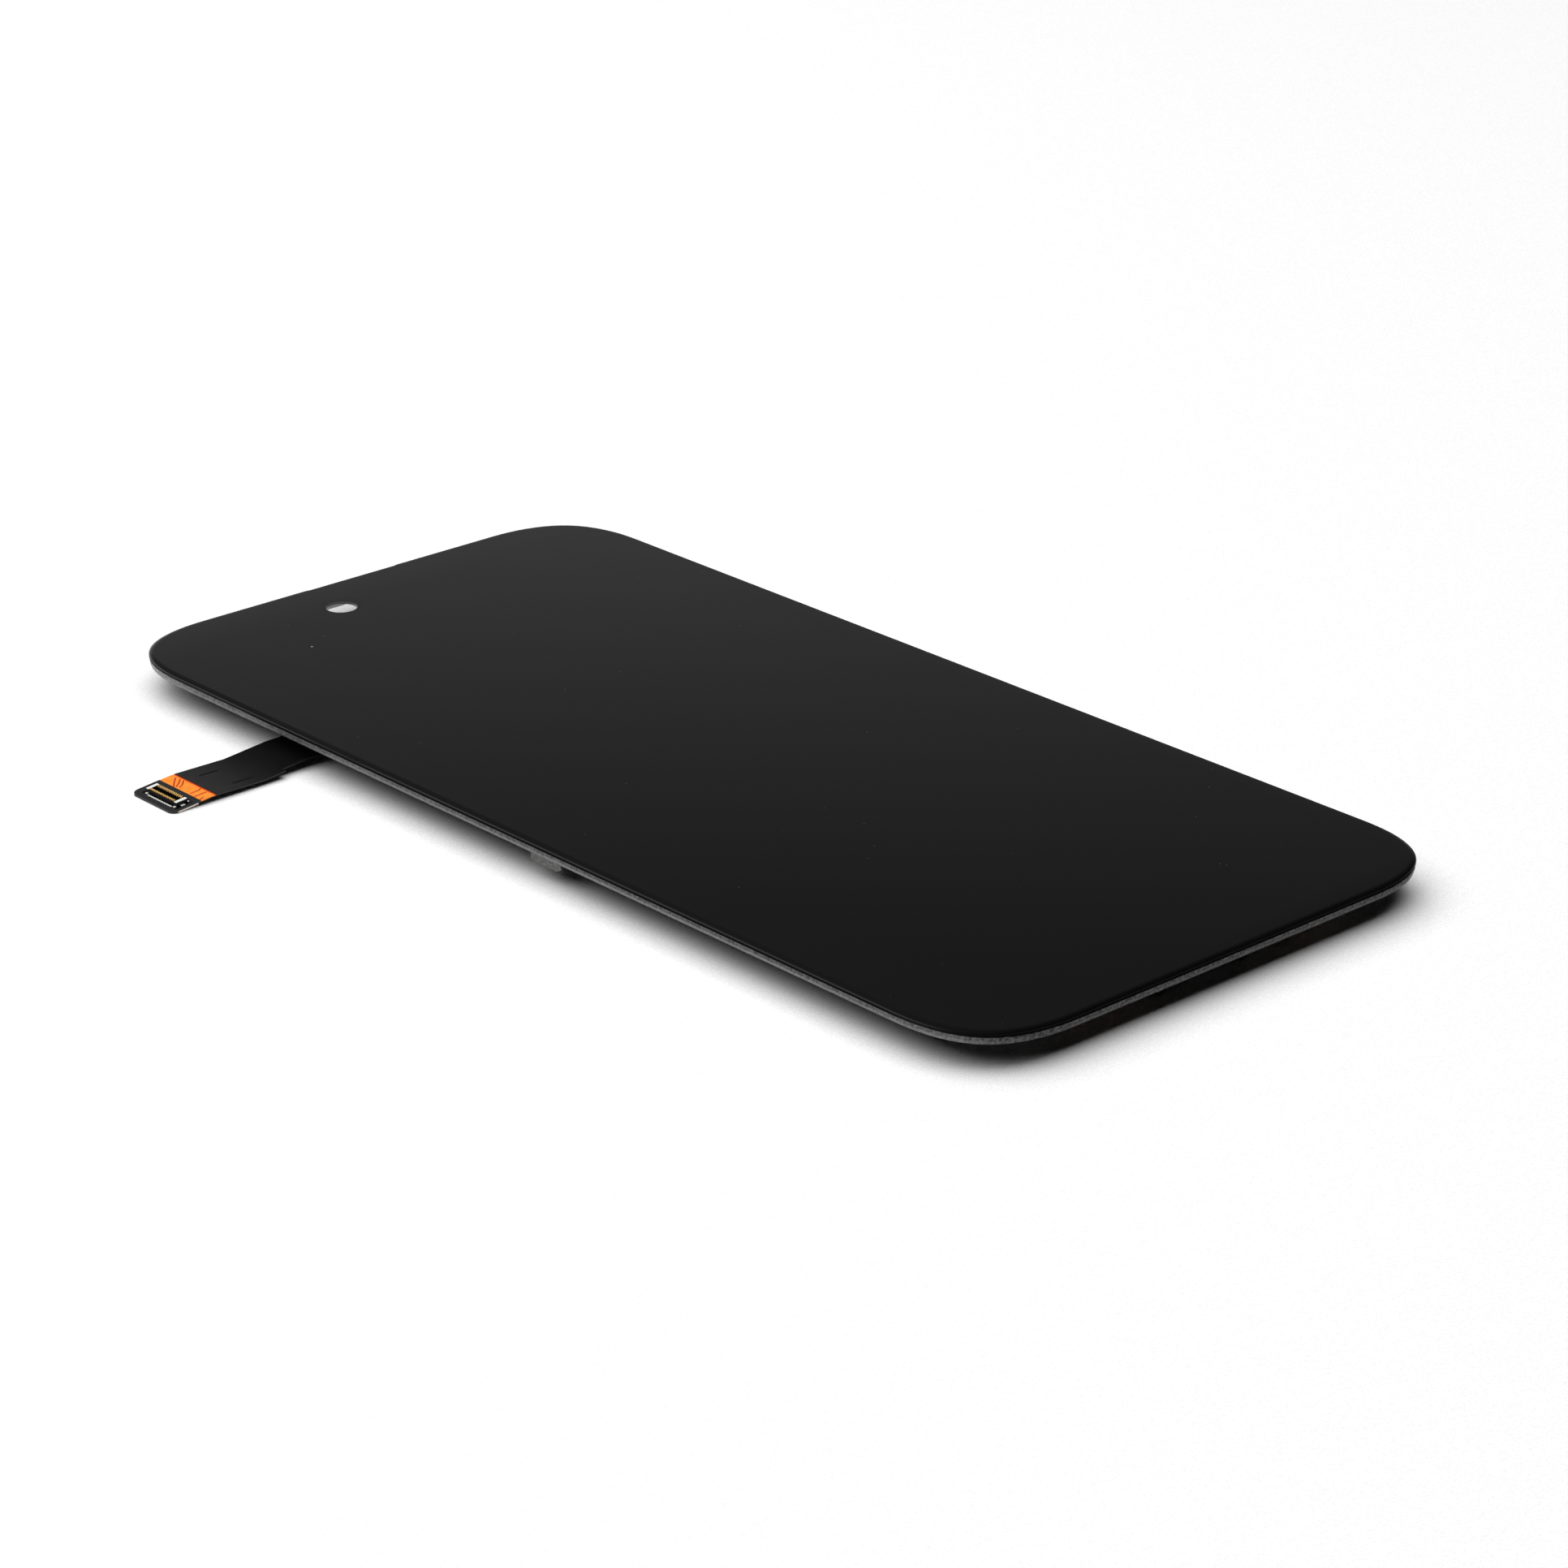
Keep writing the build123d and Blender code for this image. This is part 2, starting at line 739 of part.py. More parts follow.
# Rows of small capacitors, and two coils
with BuildPart() as capacitors:
    with BuildSketch(Plane.XY.offset(board_back)):
        with Locations(capacitor_spot):
            with GridLocations(capacitor_pitch, 2 * capacitor_length, capacitor_columns, capacitor_rows):
                Rectangle(capacitor_width, capacitor_length)
    extrude(amount=-capacitor_height)
capacitors.part.label = "capacitors"
export_step(capacitors.part, "parts/capacitors.step")

with BuildPart() as inductors:
    with BuildSketch(Plane.XY.offset(board_back)):
        with Locations(inductor_spot):
            with GridLocations(inductor_pitch, 0, 2, 1):
                RectangleRounded(inductor_length, inductor_width, inductor_corner)
    extrude(amount=-inductor_height)
inductors.part.label = "inductors"
export_step(inductors.part, "parts/inductors.step")

# Conductive foam pads that press on the phone's middle frame
with BuildPart() as ground_pads:
    with BuildSketch(Plane.XY.offset(plate_back)):
        with Locations((glass_width / 2 - pad_from_edge, 0)):
            with GridLocations(0, pad_spacing, 1, pad_count):
                Rectangle(pad_width, pad_length)
    extrude(amount=-pad_height)
ground_pads.part.label = "ground_pads"
export_step(ground_pads.part, "parts/ground_pads.step")

# Sheet metal clips under the frame, one on each long side
clip_low_y = clip_y - clip_length / 2
clip_high_y = clip_y + clip_length / 2
clip_outer_x = glass_left + clip_inset
clip_bottom = frame_bottom - clip_drop
with BuildPart() as side_clips:
    with BuildSketch(Plane.YZ.offset(clip_outer_x)):
        with BuildLine():
            Polyline(
                (clip_low_y, frame_bottom),
                (clip_high_y, frame_bottom),
                (clip_high_y, clip_bottom),
                (clip_low_y + clip_end_cut, clip_bottom),
                (clip_low_y, clip_bottom + clip_end_cut / 2),
                close=True,
            )
        make_face()
    extrude(amount=clip_thickness)
    with BuildSketch(Plane.XY.offset(frame_bottom)):
        with Locations((clip_outer_x, clip_y)):
            Rectangle(clip_flange, clip_length, align=(Align.MIN, Align.CENTER))
    extrude(amount=-clip_thickness)
    mirror(about=Plane.YZ)
side_clips.part.label = "side_clips"
export_step(side_clips.part, "parts/side_clips.step")

# Bent hooks under the top bar, which slide under the phone's lip and reach the resting surface
hook_front_y = glass_end - hook_inset
with BuildPart() as top_hooks:
    with BuildSketch(Plane.YZ.offset(hook_x - hook_width / 2)):
        with BuildLine():
            Polyline(
                (hook_front_y - hook_flange, frame_bottom),
                (hook_front_y, frame_bottom),
                (hook_front_y, rest_level + hook_thickness),
                (hook_front_y + hook_lip, rest_level + hook_thickness),
                (hook_front_y + hook_lip, rest_level),
                (hook_front_y - hook_thickness, rest_level),
                (hook_front_y - hook_thickness, frame_bottom - hook_thickness),
                (hook_front_y - hook_flange, frame_bottom - hook_thickness),
                close=True,
            )
        make_face()
    extrude(amount=hook_width)
    mirror(about=Plane.YZ)
top_hooks.part.label = "top_hooks"
export_step(top_hooks.part, "parts/top_hooks.step")

# Moulded bracket under the bottom edge, with two round bottomed screw lugs
lug_face_y = -glass_end + lug_face_inset
lug_middle_z = rest_level + lug_radius
flange_front_y = -glass_end + lug_flange_inset
flange_depth = lug_face_y + lug_depth - flange_front_y
with BuildPart() as lug_bracket:
    with BuildSketch(Plane.XY.offset(frame_bottom)):
        with Locations((0, flange_front_y)):
            Rectangle(
                2 * (lug_x + lug_radius + lug_flange_side),
                flange_depth,
                align=(Align.CENTER, Align.MIN),
            )
    extrude(amount=-lug_flange_thickness)
    fillet(lug_bracket.edges().filter_by(Axis.Z), lug_radius)
    with BuildSketch(Plane.XZ.offset(-lug_face_y)):
        with Locations((-lug_x, lug_middle_z), (lug_x, lug_middle_z)):
            Circle(lug_radius)
            Rectangle(
                2 * lug_radius,
                frame_bottom - lug_flange_thickness / 2 - lug_middle_z,
                align=(Align.CENTER, Align.MIN),
            )
    extrude(amount=-lug_depth)
    with BuildSketch(Plane.XZ.offset(-lug_face_y)):
        with Locations((-lug_x, lug_middle_z), (lug_x, lug_middle_z)):
            Circle(insert_outer_radius)
    extrude(amount=-lug_depth, mode=Mode.SUBTRACT)
lug_bracket.part.label = "lug_bracket"
export_step(lug_bracket.part, "parts/lug_bracket.step")

# Threaded inserts in the two lugs
with BuildPart() as screw_inserts:
    with BuildSketch(Plane.XZ.offset(-lug_face_y)):
        with Locations((-lug_x, lug_middle_z), (lug_x, lug_middle_z)):
            Circle(insert_outer_radius)
            Circle(screw_radius, mode=Mode.SUBTRACT)
    extrude(amount=-lug_depth)
screw_inserts.part.label = "screw_inserts"
export_step(screw_inserts.part, "parts/screw_inserts.step")
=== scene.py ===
# %% [markdown]
# # A phone's front screen module
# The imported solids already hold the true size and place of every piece: glass, bezel, films,
# flexible board, connector, clips and lugs. This file gives them their finish, and makes anew
# the few pieces that a plain solid can't show well. It loads the solids, sets the camera and
# the lights, and then goes through the module from the front to the back.

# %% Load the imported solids
import math

import bmesh
import bpy
from mathutils import Matrix, Quaternion, Vector


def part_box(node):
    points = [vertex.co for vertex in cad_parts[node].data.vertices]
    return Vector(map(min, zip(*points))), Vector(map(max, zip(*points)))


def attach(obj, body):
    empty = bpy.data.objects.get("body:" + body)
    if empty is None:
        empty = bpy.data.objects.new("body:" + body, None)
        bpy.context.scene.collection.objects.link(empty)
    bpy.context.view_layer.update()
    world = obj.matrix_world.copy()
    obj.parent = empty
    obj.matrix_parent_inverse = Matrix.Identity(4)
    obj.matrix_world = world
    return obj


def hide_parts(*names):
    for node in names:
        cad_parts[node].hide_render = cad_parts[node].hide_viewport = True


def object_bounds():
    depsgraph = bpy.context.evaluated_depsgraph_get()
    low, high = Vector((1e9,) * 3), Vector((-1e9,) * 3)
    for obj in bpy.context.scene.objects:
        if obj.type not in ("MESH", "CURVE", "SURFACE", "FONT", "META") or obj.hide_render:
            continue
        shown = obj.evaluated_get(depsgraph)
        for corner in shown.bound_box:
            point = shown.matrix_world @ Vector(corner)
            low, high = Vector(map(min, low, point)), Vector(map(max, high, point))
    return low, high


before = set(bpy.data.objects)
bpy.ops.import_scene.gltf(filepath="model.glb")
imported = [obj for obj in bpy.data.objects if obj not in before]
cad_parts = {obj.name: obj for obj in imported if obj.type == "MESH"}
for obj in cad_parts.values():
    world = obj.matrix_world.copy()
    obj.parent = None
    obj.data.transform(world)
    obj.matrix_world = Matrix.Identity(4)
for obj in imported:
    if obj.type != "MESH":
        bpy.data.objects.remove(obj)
solid_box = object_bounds()
BODY = "root"
MM = 0.001
print("solids:", len(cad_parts))
print("box in mm:", [round(v / MM, 2) for v in (*solid_box[0], *solid_box[1])])

# %% [markdown]
# ## Camera
# The picture was taken with a long lens from the near left, looking down by about 22 degrees.
# The place and the focal length come from fitting the module's outline, so they are written as
# real values: where the lens stands, the point of the glass in the middle of the picture, and a
# tiny roll. A long lens keeps the far edge almost as large as the near one.

# %% Camera at the picture's angle
PICTURE_SIDE = 1932
FOCAL_PIXELS = 5716.2
SENSOR_WIDTH = 36.0
camera_spot = Vector((-317.42, -354.71, 195.62)) * MM
aim_spot = Vector((-4.62, -10.87, 0.0)) * MM
camera_roll = math.radians(0.06)

lens = bpy.data.cameras.new("product_lens")
lens.sensor_width = SENSOR_WIDTH
lens.lens = SENSOR_WIDTH * FOCAL_PIXELS / PICTURE_SIDE
lens.clip_start = 0.01
lens.clip_end = 20.0
camera = bpy.data.objects.new("product_camera", lens)
turn = (aim_spot - camera_spot).to_track_quat("-Z", "Y") @ Quaternion((0, 0, 1), camera_roll)
camera.matrix_world = Matrix.Translation(camera_spot) @ turn.to_matrix().to_4x4()
bpy.context.scene.collection.objects.link(camera)
bpy.context.scene.camera = camera
bpy.context.scene.view_settings.view_transform = "Standard"
print("lens", round(lens.lens, 1), "mm, distance", round((aim_spot - camera_spot).length / MM), "mm")

# %% [markdown]
# ## Sums of nodes
# A finish is a small sum of patterns: grain plus wear minus a masked spot. Written as nodes that
# takes many lines, so this class wraps an output socket and lets Python's own signs add the Math
# nodes. `1 - mask` works too, because the reflected forms are there. Colours and vectors don't
# go through Math, which would turn them grey.

# %% A socket that can be added, multiplied and masked
class Wire:
    """An output in a tree of nodes, used in sums like a number."""

    def __init__(self, graph, socket):
        self.graph = graph
        self.socket = socket

    def sum(self, operation, *values):
        places = dict(enumerate(values))
        return self.graph.node("ShaderNodeMath", {"operation": operation}, places)

    def __add__(self, other):
        return self.sum("ADD", self, other)

    def __radd__(self, other):
        return self.sum("ADD", other, self)

    def __sub__(self, other):
        return self.sum("SUBTRACT", self, other)

    def __rsub__(self, other):
        return self.sum("SUBTRACT", other, self)

    def __mul__(self, other):
        return self.sum("MULTIPLY", self, other)

    def __rmul__(self, other):
        return self.sum("MULTIPLY", other, self)

    def __truediv__(self, other):
        return self.sum("DIVIDE", self, other)

    def __rtruediv__(self, other):
        return self.sum("DIVIDE", other, self)

    def __abs__(self):
        return self.sum("ABSOLUTE", self)

    def lower(self, other):
        return self.sum("MINIMUM", self, other)

    def higher(self, other):
        return self.sum("MAXIMUM", self, other)

    def step(self, low, high):
        """0 below low, 1 above high and a soft step between them."""
        places = {"Value": self, "From Min": low, "From Max": high}
        return self.graph.node("ShaderNodeMapRange", {"interpolation_type": "SMOOTHSTEP"}, places)


# %% A tree whose nodes all come from one method
class Graph:
    """A node tree being built."""

    def __init__(self, tree):
        self.tree = tree

    def node(self, kind, settings=None, values=None, out=0):
        """Any node: its settings first, then the values or links of its sockets."""
        made = self.tree.nodes.new(kind)
        for name, value in (settings or {}).items():
            setattr(made, name, value)
        for name, value in (values or {}).items():
            if isinstance(value, Wire):
                self.tree.links.new(value.socket, made.inputs[name])
            else:
                made.inputs[name].default_value = value
        return Wire(self, made.outputs[out])


# %% A recipe, which builds one material
WAVE_SCALE = 0.314


def paint(red, green=None, blue=None):
    """A colour given by its 0 to 255 screen values, as the linear values a shader wants."""
    parts = (red, red if green is None else green, red if blue is None else blue)
    shares = [value / 255 for value in parts]
    return (*[v / 12.92 if v <= 0.04045 else ((v + 0.055) / 1.055) ** 2.4 for v in shares], 1.0)


class Recipe(Graph):
    """One material, or the room's glow. Patterns are laid out in millimetres on the piece itself."""

    def __init__(self, owner, coordinates="Object"):
        owner.use_nodes = True
        super().__init__(owner.node_tree)
        self.owner = owner
        self.tree.nodes.clear()
        place = self.node("ShaderNodeTexCoord", out=coordinates)
        self.place = self.node("ShaderNodeVectorMath", {"operation": "SCALE"}, {0: place, "Scale": 1 / MM})

    def axes(self):
        """The three coordinates of the place, each as a wire."""
        split = self.tree.nodes.new("ShaderNodeSeparateXYZ")
        self.tree.links.new(self.place.socket, split.inputs[0])
        return [Wire(self, socket) for socket in split.outputs]

    def stretched(self, along_x, along_y, along_z):
        """The place with each axis scaled, so that round grain turns into streaks."""
        places = {0: self.place, 1: (along_x, along_y, along_z)}
        return self.node("ShaderNodeVectorMath", {"operation": "MULTIPLY"}, places)

    def grain(self, per_mm, detail=3.0, rough=0.5, place=None):
        """Cloudy grain from 0 to 1, with so many grains to the millimetre."""
        places = {"Vector": place or self.place, "Scale": per_mm, "Detail": detail, "Roughness": rough}
        return self.node("ShaderNodeTexNoise", {}, places)

    def cells(self, per_mm, place=None):
        """Distance to the nearest of many scattered points."""
        places = {"Vector": place or self.place, "Scale": per_mm}
        return self.node("ShaderNodeTexVoronoi", {}, places, out="Distance")

    def ribs(self, per_mm, axis):
        """Even waves along one axis, from 0 to 1."""
        settings = {"wave_type": "BANDS", "bands_direction": axis, "wave_profile": "SIN"}
        places = {"Vector": self.place, "Scale": per_mm * WAVE_SCALE}
        return self.node("ShaderNodeTexWave", settings, places, out=1)

    def near(self, spot, radius, soft=0.04):
        """1 inside a round spot seen from above, 0 outside."""
        x, y, z = self.axes()
        apart = (x - spot[0]) * (x - spot[0]) + (y - spot[1]) * (y - spot[1])
        return 1 - apart.sum("SQRT", apart).step(radius - soft, radius + soft)

    def blend(self, share, first, second):
        """A colour between two others."""
        return self.node("ShaderNodeMix", {"data_type": "RGBA"}, {0: share, 6: first, 7: second}, out=2)

    def shader(self, color, rough, metal=0.0, height=None, relief=0.005, **fixed):
        """A Principled surface. A height pattern becomes relief, so many millimetres deep."""
        values = {"Base Color": color, "Roughness": rough, "Metallic": metal}
        if height is not None:
            values["Normal"] = self.node("ShaderNodeBump", {}, {"Distance": relief * MM, "Height": height})
        values.update({name.replace("_", " "): value for name, value in fixed.items()})
        return self.node("ShaderNodeBsdfPrincipled", {}, values)

    def mixed(self, share, first, second):
        """One surface turning into another."""
        return self.node("ShaderNodeMixShader", {}, {0: share, 1: first, 2: second})

    def done(self, shader):
        target = "World" if isinstance(self.owner, bpy.types.World) else "Material"
        end = self.tree.nodes.new("ShaderNodeOutput" + target)
        self.tree.links.new(shader.socket, end.inputs["Surface"])
        return self.owner


def finish(name):
    """A recipe for a new material of that name."""
    return Recipe(bpy.data.materials.new(name))


# %% [markdown]
# ## Growing what repeats
# Contacts, solder, threads, tracks and chip ends repeat by a rule, so Geometry Nodes grow them.
# Each tree has named inputs for its sizes. A starting mesh, often only a bent line, goes in, and
# the copies come out as real faces of one mesh, because an export would lose instances.

# %% A growth, which builds one tree of Geometry Nodes
class Growth(Graph):
    """Geometry Nodes with named sizes, run once."""

    def __init__(self, name, **sizes):
        super().__init__(bpy.data.node_groups.new(name, "GeometryNodeTree"))
        self.sizes = sizes
        add = self.tree.interface.new_socket
        add("Geometry", in_out="INPUT", socket_type="NodeSocketGeometry")
        add("Geometry", in_out="OUTPUT", socket_type="NodeSocketGeometry")
        for label, value in sizes.items():
            kind = "NodeSocketInt" if isinstance(value, int) else "NodeSocketFloat"
            add(label, in_out="INPUT", socket_type=kind)
        self.entry = self.tree.nodes.new("NodeGroupInput")

    def given(self, label="Geometry"):
        """The starting mesh, or one of the named sizes."""
        return Wire(self, self.entry.outputs[label])

    def vector(self, x=0.0, y=0.0, z=0.0):
        return self.node("ShaderNodeCombineXYZ", {}, {0: x, 1: y, 2: z})

    def join(self, *parts):
        made = self.tree.nodes.new("GeometryNodeJoinGeometry")
        for part in parts:
            self.tree.links.new(part.socket, made.inputs[0])
        return Wire(self, made.outputs[0])

    def moved(self, shape, spot=(0, 0, 0), turn=(0, 0, 0), scale=(1, 1, 1)):
        places = {"Geometry": shape, "Translation": spot, "Rotation": turn, "Scale": scale}
        return self.node("GeometryNodeTransform", {}, places)

    def row(self, shape, count, pitch, axis=0):
        """Copies of a shape in a row about the middle."""
        places = {"Count": count, "Offset": self.vector(*[pitch if axis == k else 0.0 for k in range(3)])}
        line = self.node("GeometryNodeMeshLine", {"mode": "OFFSET"}, places)
        back = pitch * (count - 1) * -0.5
        middle = self.moved(line, self.vector(*[back if axis == k else 0.0 for k in range(3)]))
        return self.node("GeometryNodeInstanceOnPoints", {}, {"Points": middle, "Instance": shape})

    def swept(self, curve, width, height, level=False):
        """A flat strip along a curve."""
        if level:
            curve = self.node("GeometryNodeSetCurveNormal", {"mode": "Z_UP"}, {"Curve": curve})
        sizes = {"Width": width, "Height": height}
        profile = self.node("GeometryNodeCurvePrimitiveQuadrilateral", {"mode": "RECTANGLE"}, sizes)
        places = {"Curve": curve, "Profile Curve": profile, "Fill Caps": True}
        return self.node("GeometryNodeCurveToMesh", {}, places)

    def grown(self, shape, material, start=None):
        """The finished mesh of the tree that makes this shape."""
        real = self.node("GeometryNodeRealizeInstances", {}, {0: shape})
        dressed = self.node("GeometryNodeSetMaterial", {}, {"Geometry": real, "Material": material})
        end = self.tree.nodes.new("NodeGroupOutput")
        self.tree.links.new(dressed.socket, end.inputs["Geometry"])
        name = self.tree.name
        start = start or bpy.data.meshes.new(name + "_start")
        maker = bpy.data.objects.new(name + "_maker", start)
        bpy.context.scene.collection.objects.link(maker)
        modifier = maker.modifiers.new("growth", "NODES")
        modifier.node_group = self.tree
        for item in self.tree.interface.items_tree:
            if item.in_out == "INPUT" and item.name in self.sizes:
                modifier[item.identifier] = self.sizes[item.name]
        ready = maker.evaluated_get(bpy.context.evaluated_depsgraph_get())
        mesh = bpy.data.meshes.new_from_object(ready)
        mesh.name = name
        bpy.data.objects.remove(maker)
        print("grew", name, "with", len(mesh.polygons), "faces")
        return mesh


def bent_lines(name, *routes):
    """A starting mesh of open lines, each through its points in millimetres."""
    points = [tuple(value * MM for value in point) for route in routes for point in route]
    edges = []
    for route in routes:
        first = len(edges) + routes.index(route)
        edges += [(first + step, first + step + 1) for step in range(len(route) - 1)]
    mesh = bpy.data.meshes.new(name)
    mesh.from_pydata(points, edges, [])
    return mesh


# %% [markdown]
# ## Floor and light
# The module lies on a white sweep. One wide soft light hangs over it, reaching further to the
# left and back than to the right and front. The shadows are therefore short, black right under
# the edges and gone within a few millimetres. The light only falls on things and isn't mirrored
# in them. What a low viewer sees in the glass is the room: it glows at the horizon behind the
# module, less above it, more towards the left than the right, and is nearly black in front.
# That glow shows only in gloss. As soft light it would fill the shadows right under the edges.

# %% White floor
FLOOR_SIDE = 8.0
floor_level = solid_box[0].z


def floor_paper():
    recipe = finish("white_paper")
    fibres = recipe.grain(4.5, 3.0, 0.6).step(0.35, 0.65)
    color = recipe.blend(fibres, paint(239), paint(252))
    return recipe.done(recipe.shader(color, 0.9, Specular_IOR_Level=0.1))


floor_mesh = bpy.data.meshes.new("floor")
sketch = bmesh.new()
bmesh.ops.create_grid(sketch, x_segments=2, y_segments=2, size=FLOOR_SIDE / 2)
bmesh.ops.translate(sketch, verts=sketch.verts, vec=(0, 0, floor_level))
sketch.to_mesh(floor_mesh)
sketch.free()
floor = bpy.data.objects.new("floor", floor_mesh)
bpy.context.scene.collection.objects.link(floor)
floor_mesh.materials.append(floor_paper())
print("floor at", round(floor_level / MM, 2), "mm")


# %% One wide softbox overhead
SOFTBOX_HEIGHT = 2.0
SOFTBOX_CORNERS = ((-3.2, -1.16), (1.16, 2.60))
SOFTBOX_WATTS = 121.0
(box_left, box_front), (box_right, box_back) = SOFTBOX_CORNERS

lamp = bpy.data.lights.new("overhead_softbox", "AREA")
lamp.shape = "RECTANGLE"
lamp.size = box_right - box_left
lamp.size_y = box_back - box_front
lamp.energy = SOFTBOX_WATTS
softbox = bpy.data.objects.new("overhead_softbox", lamp)
softbox.location = ((box_left + box_right) / 2, (box_front + box_back) / 2, SOFTBOX_HEIGHT)
softbox.visible_glossy = False
bpy.context.scene.collection.objects.link(softbox)
print("softbox", round(lamp.size, 2), "by", round(lamp.size_y, 2), "m")

# %% The dim room, which only the gloss shows
GLOW_LEAST = 0.077
GLOW_RISE = 1.2
GLOW_TOP = 0.43
GLOW_SIDE = (0.67, 0.74)
SIDE_FADE = (-0.2, 0.5)
GLOW_LEAN = 1.4
LEAN_LIMITS = (0.15, 2.4)
ROOM_LEAST = 0.01


def dim_room():
    recipe = Recipe(bpy.data.worlds.new("studio_room"), "Generated")
    east, north, up = (wire * MM for wire in recipe.axes())
    behind = (east * GLOW_SIDE[0] + north * GLOW_SIDE[1]).step(*SIDE_FADE)
    horizon = (GLOW_TOP - up).higher(0.0) * GLOW_RISE * behind
    lean = ((north - east) * GLOW_LEAN + 1).higher(LEAN_LIMITS[0]).lower(LEAN_LIMITS[1])
    recipe.owner.cycles_visibility.diffuse = False
    bpy.context.scene.world = recipe.owner
    glow = (horizon + GLOW_LEAST) * lean + ROOM_LEAST
    return recipe.done(recipe.node("ShaderNodeBackground", {}, {"Strength": glow}))


dim_room()
print("room's glow lights matt surfaces:", bpy.context.scene.world.cycles_visibility.diffuse)

# %% [markdown]
# ## Ways to show a piece
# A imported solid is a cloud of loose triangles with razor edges. Where its look is right it keeps
# its place and only gets a finish. Where its edges catch the light, a merged copy stands for it:
# the copy's edges get a bevel as small as the real corner, and its curves shade smoothly.

# %% Dress a solid, or stand a softened copy for it
SMOOTH_ANGLE = math.radians(40)
FLAT_ANGLE = math.radians(1.0)
SAME_SPOT = 0.0004 * MM


def dress(material, *nodes):
    """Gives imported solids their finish."""
    for node in nodes:
        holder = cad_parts[node]
        for place in holder.material_slots:
            place.material = material
    print("dressed", ", ".join(nodes), "in", material.name)


def show(name, mesh, material, slot, *stands_for):
    """Links a new piece to the scene, on the module's only body."""
    piece = bpy.data.objects.new(name, mesh)
    bpy.context.scene.collection.objects.link(piece)
    mesh.materials.clear()
    mesh.materials.append(material)
    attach(piece, BODY)
    if stands_for:
        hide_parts(*stands_for)
    return piece


def edged(piece, width, segments=2):
    """A small bevel on a piece's sharp edges."""
    bevel = piece.modifiers.new("worn_edges", "BEVEL")
    bevel.width = width * MM
    bevel.segments = segments
    bevel.limit_method = "ANGLE"
    bevel.angle_limit = SMOOTH_ANGLE
    bevel.harden_normals = True


def soften(node, material, slot, width, segments=2):
    """A merged copy of a solid, with a small bevel on its sharp edges."""
    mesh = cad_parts[node].data.copy()
    mesh.name = node + "_edged"
    sketch = bmesh.new()
    sketch.from_mesh(mesh)
    bmesh.ops.remove_doubles(sketch, verts=sketch.verts, dist=SAME_SPOT)
    bmesh.ops.dissolve_limit(
        sketch,
        angle_limit=FLAT_ANGLE,
        verts=sketch.verts,
        edges=sketch.edges,
        use_dissolve_boundaries=False,
    )
    sketch.to_mesh(mesh)
    sketch.free()
    mesh.shade_smooth()
    mesh.set_sharp_from_angle(angle=SMOOTH_ANGLE)
    edged(show(node + "_edged", mesh, material, slot, node), width, segments)
    print("softened", node, "by", width, "mm:", len(mesh.polygons), "faces before the bevel")


# %% [markdown]
# ## Cover glass
# The front is one sheet of hardened glass, black because ink is printed on its back and the
# screen behind it is off. Its rim is ground to a quarter ellipse and its corners have no sudden
# start. Only a small round window is left clear for the camera. The rim is what the light plays
# on, so the sheet is made anew from many fine rings: the outline drawn in step by step, lifted
# along the ellipse. The dip for the earpiece cuts straight through, which here is a limit on y.

# %% Outline of the front
glass_low, glass_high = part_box("cover_glass")
half_width = (glass_high.x - glass_low.x) / 2
half_length = (glass_high.y - glass_low.y) / 2
glass_back = glass_low.z
CORNER_REACH = 13.0 * MM
CORNER_PULL = 0.70
CORNER_STEPS = 26
DIP_HALF = 6.45 * MM
DIP_DEPTH = 0.45 * MM
DIP_SLOPE = 0.70 * MM
DIP_STEPS = 6


def corner_points(inset):
    """One smooth corner, from the long side round to the end edge."""
    side, end = half_width - inset, half_length - inset
    reach = CORNER_REACH - inset
    pull = CORNER_PULL * reach
    hands = [
        (side, end - reach),
        (side, end - reach + pull),
        (side - reach + pull, end),
        (side - reach, end),
    ]
    points = []
    for step in range(CORNER_STEPS + 1):
        t = step / CORNER_STEPS
        shares = [(1 - t) ** 3, 3 * t * (1 - t) ** 2, 3 * t * t * (1 - t), t ** 3]
        points.append(tuple(sum(s * h[axis] for s, h in zip(shares, hands)) for axis in (0, 1)))
    return points


def dip_points(inset):
    """The far end edge from the right corner to the left one, pressed down by the earpiece dip."""
    spots = [DIP_HALF + DIP_SLOPE * (DIP_STEPS - step) / DIP_STEPS for step in range(DIP_STEPS + 1)]
    points = []
    for x in spots + [-x for x in reversed(spots)]:
        rise = DIP_DEPTH * max(0.0, abs(x) - DIP_HALF) / DIP_SLOPE
        points.append((x, min(half_length - inset, half_length - DIP_DEPTH + rise)))
    return points


def front_outline(inset):
    """The whole outline of the front, drawn in by an inset, counterclockwise."""
    corner = corner_points(inset)
    mirrored = [(-x, y) for x, y in reversed(corner)]
    low = [(-x, -y) for x, y in corner] + [(x, -y) for x, y in reversed(corner)]
    return corner + dip_points(inset) + mirrored + low


print("outline points:", len(front_outline(0)))

# %% Rings of the glass, from the back up over the rim
RIM_WIDTH = 0.65 * MM
RIM_DROP = 0.28 * MM
RIM_RINGS = 14
BACK_CHAMFER = 0.03 * MM
glass_rings = [(BACK_CHAMFER, glass_back), (0.0, glass_back + BACK_CHAMFER), (0.0, -RIM_DROP)]
for ring in range(1, RIM_RINGS + 1):
    angle = math.pi / 2 * ring / RIM_RINGS
    glass_rings.append((RIM_WIDTH * (1 - math.cos(angle)), -RIM_DROP * (1 - math.sin(angle))))


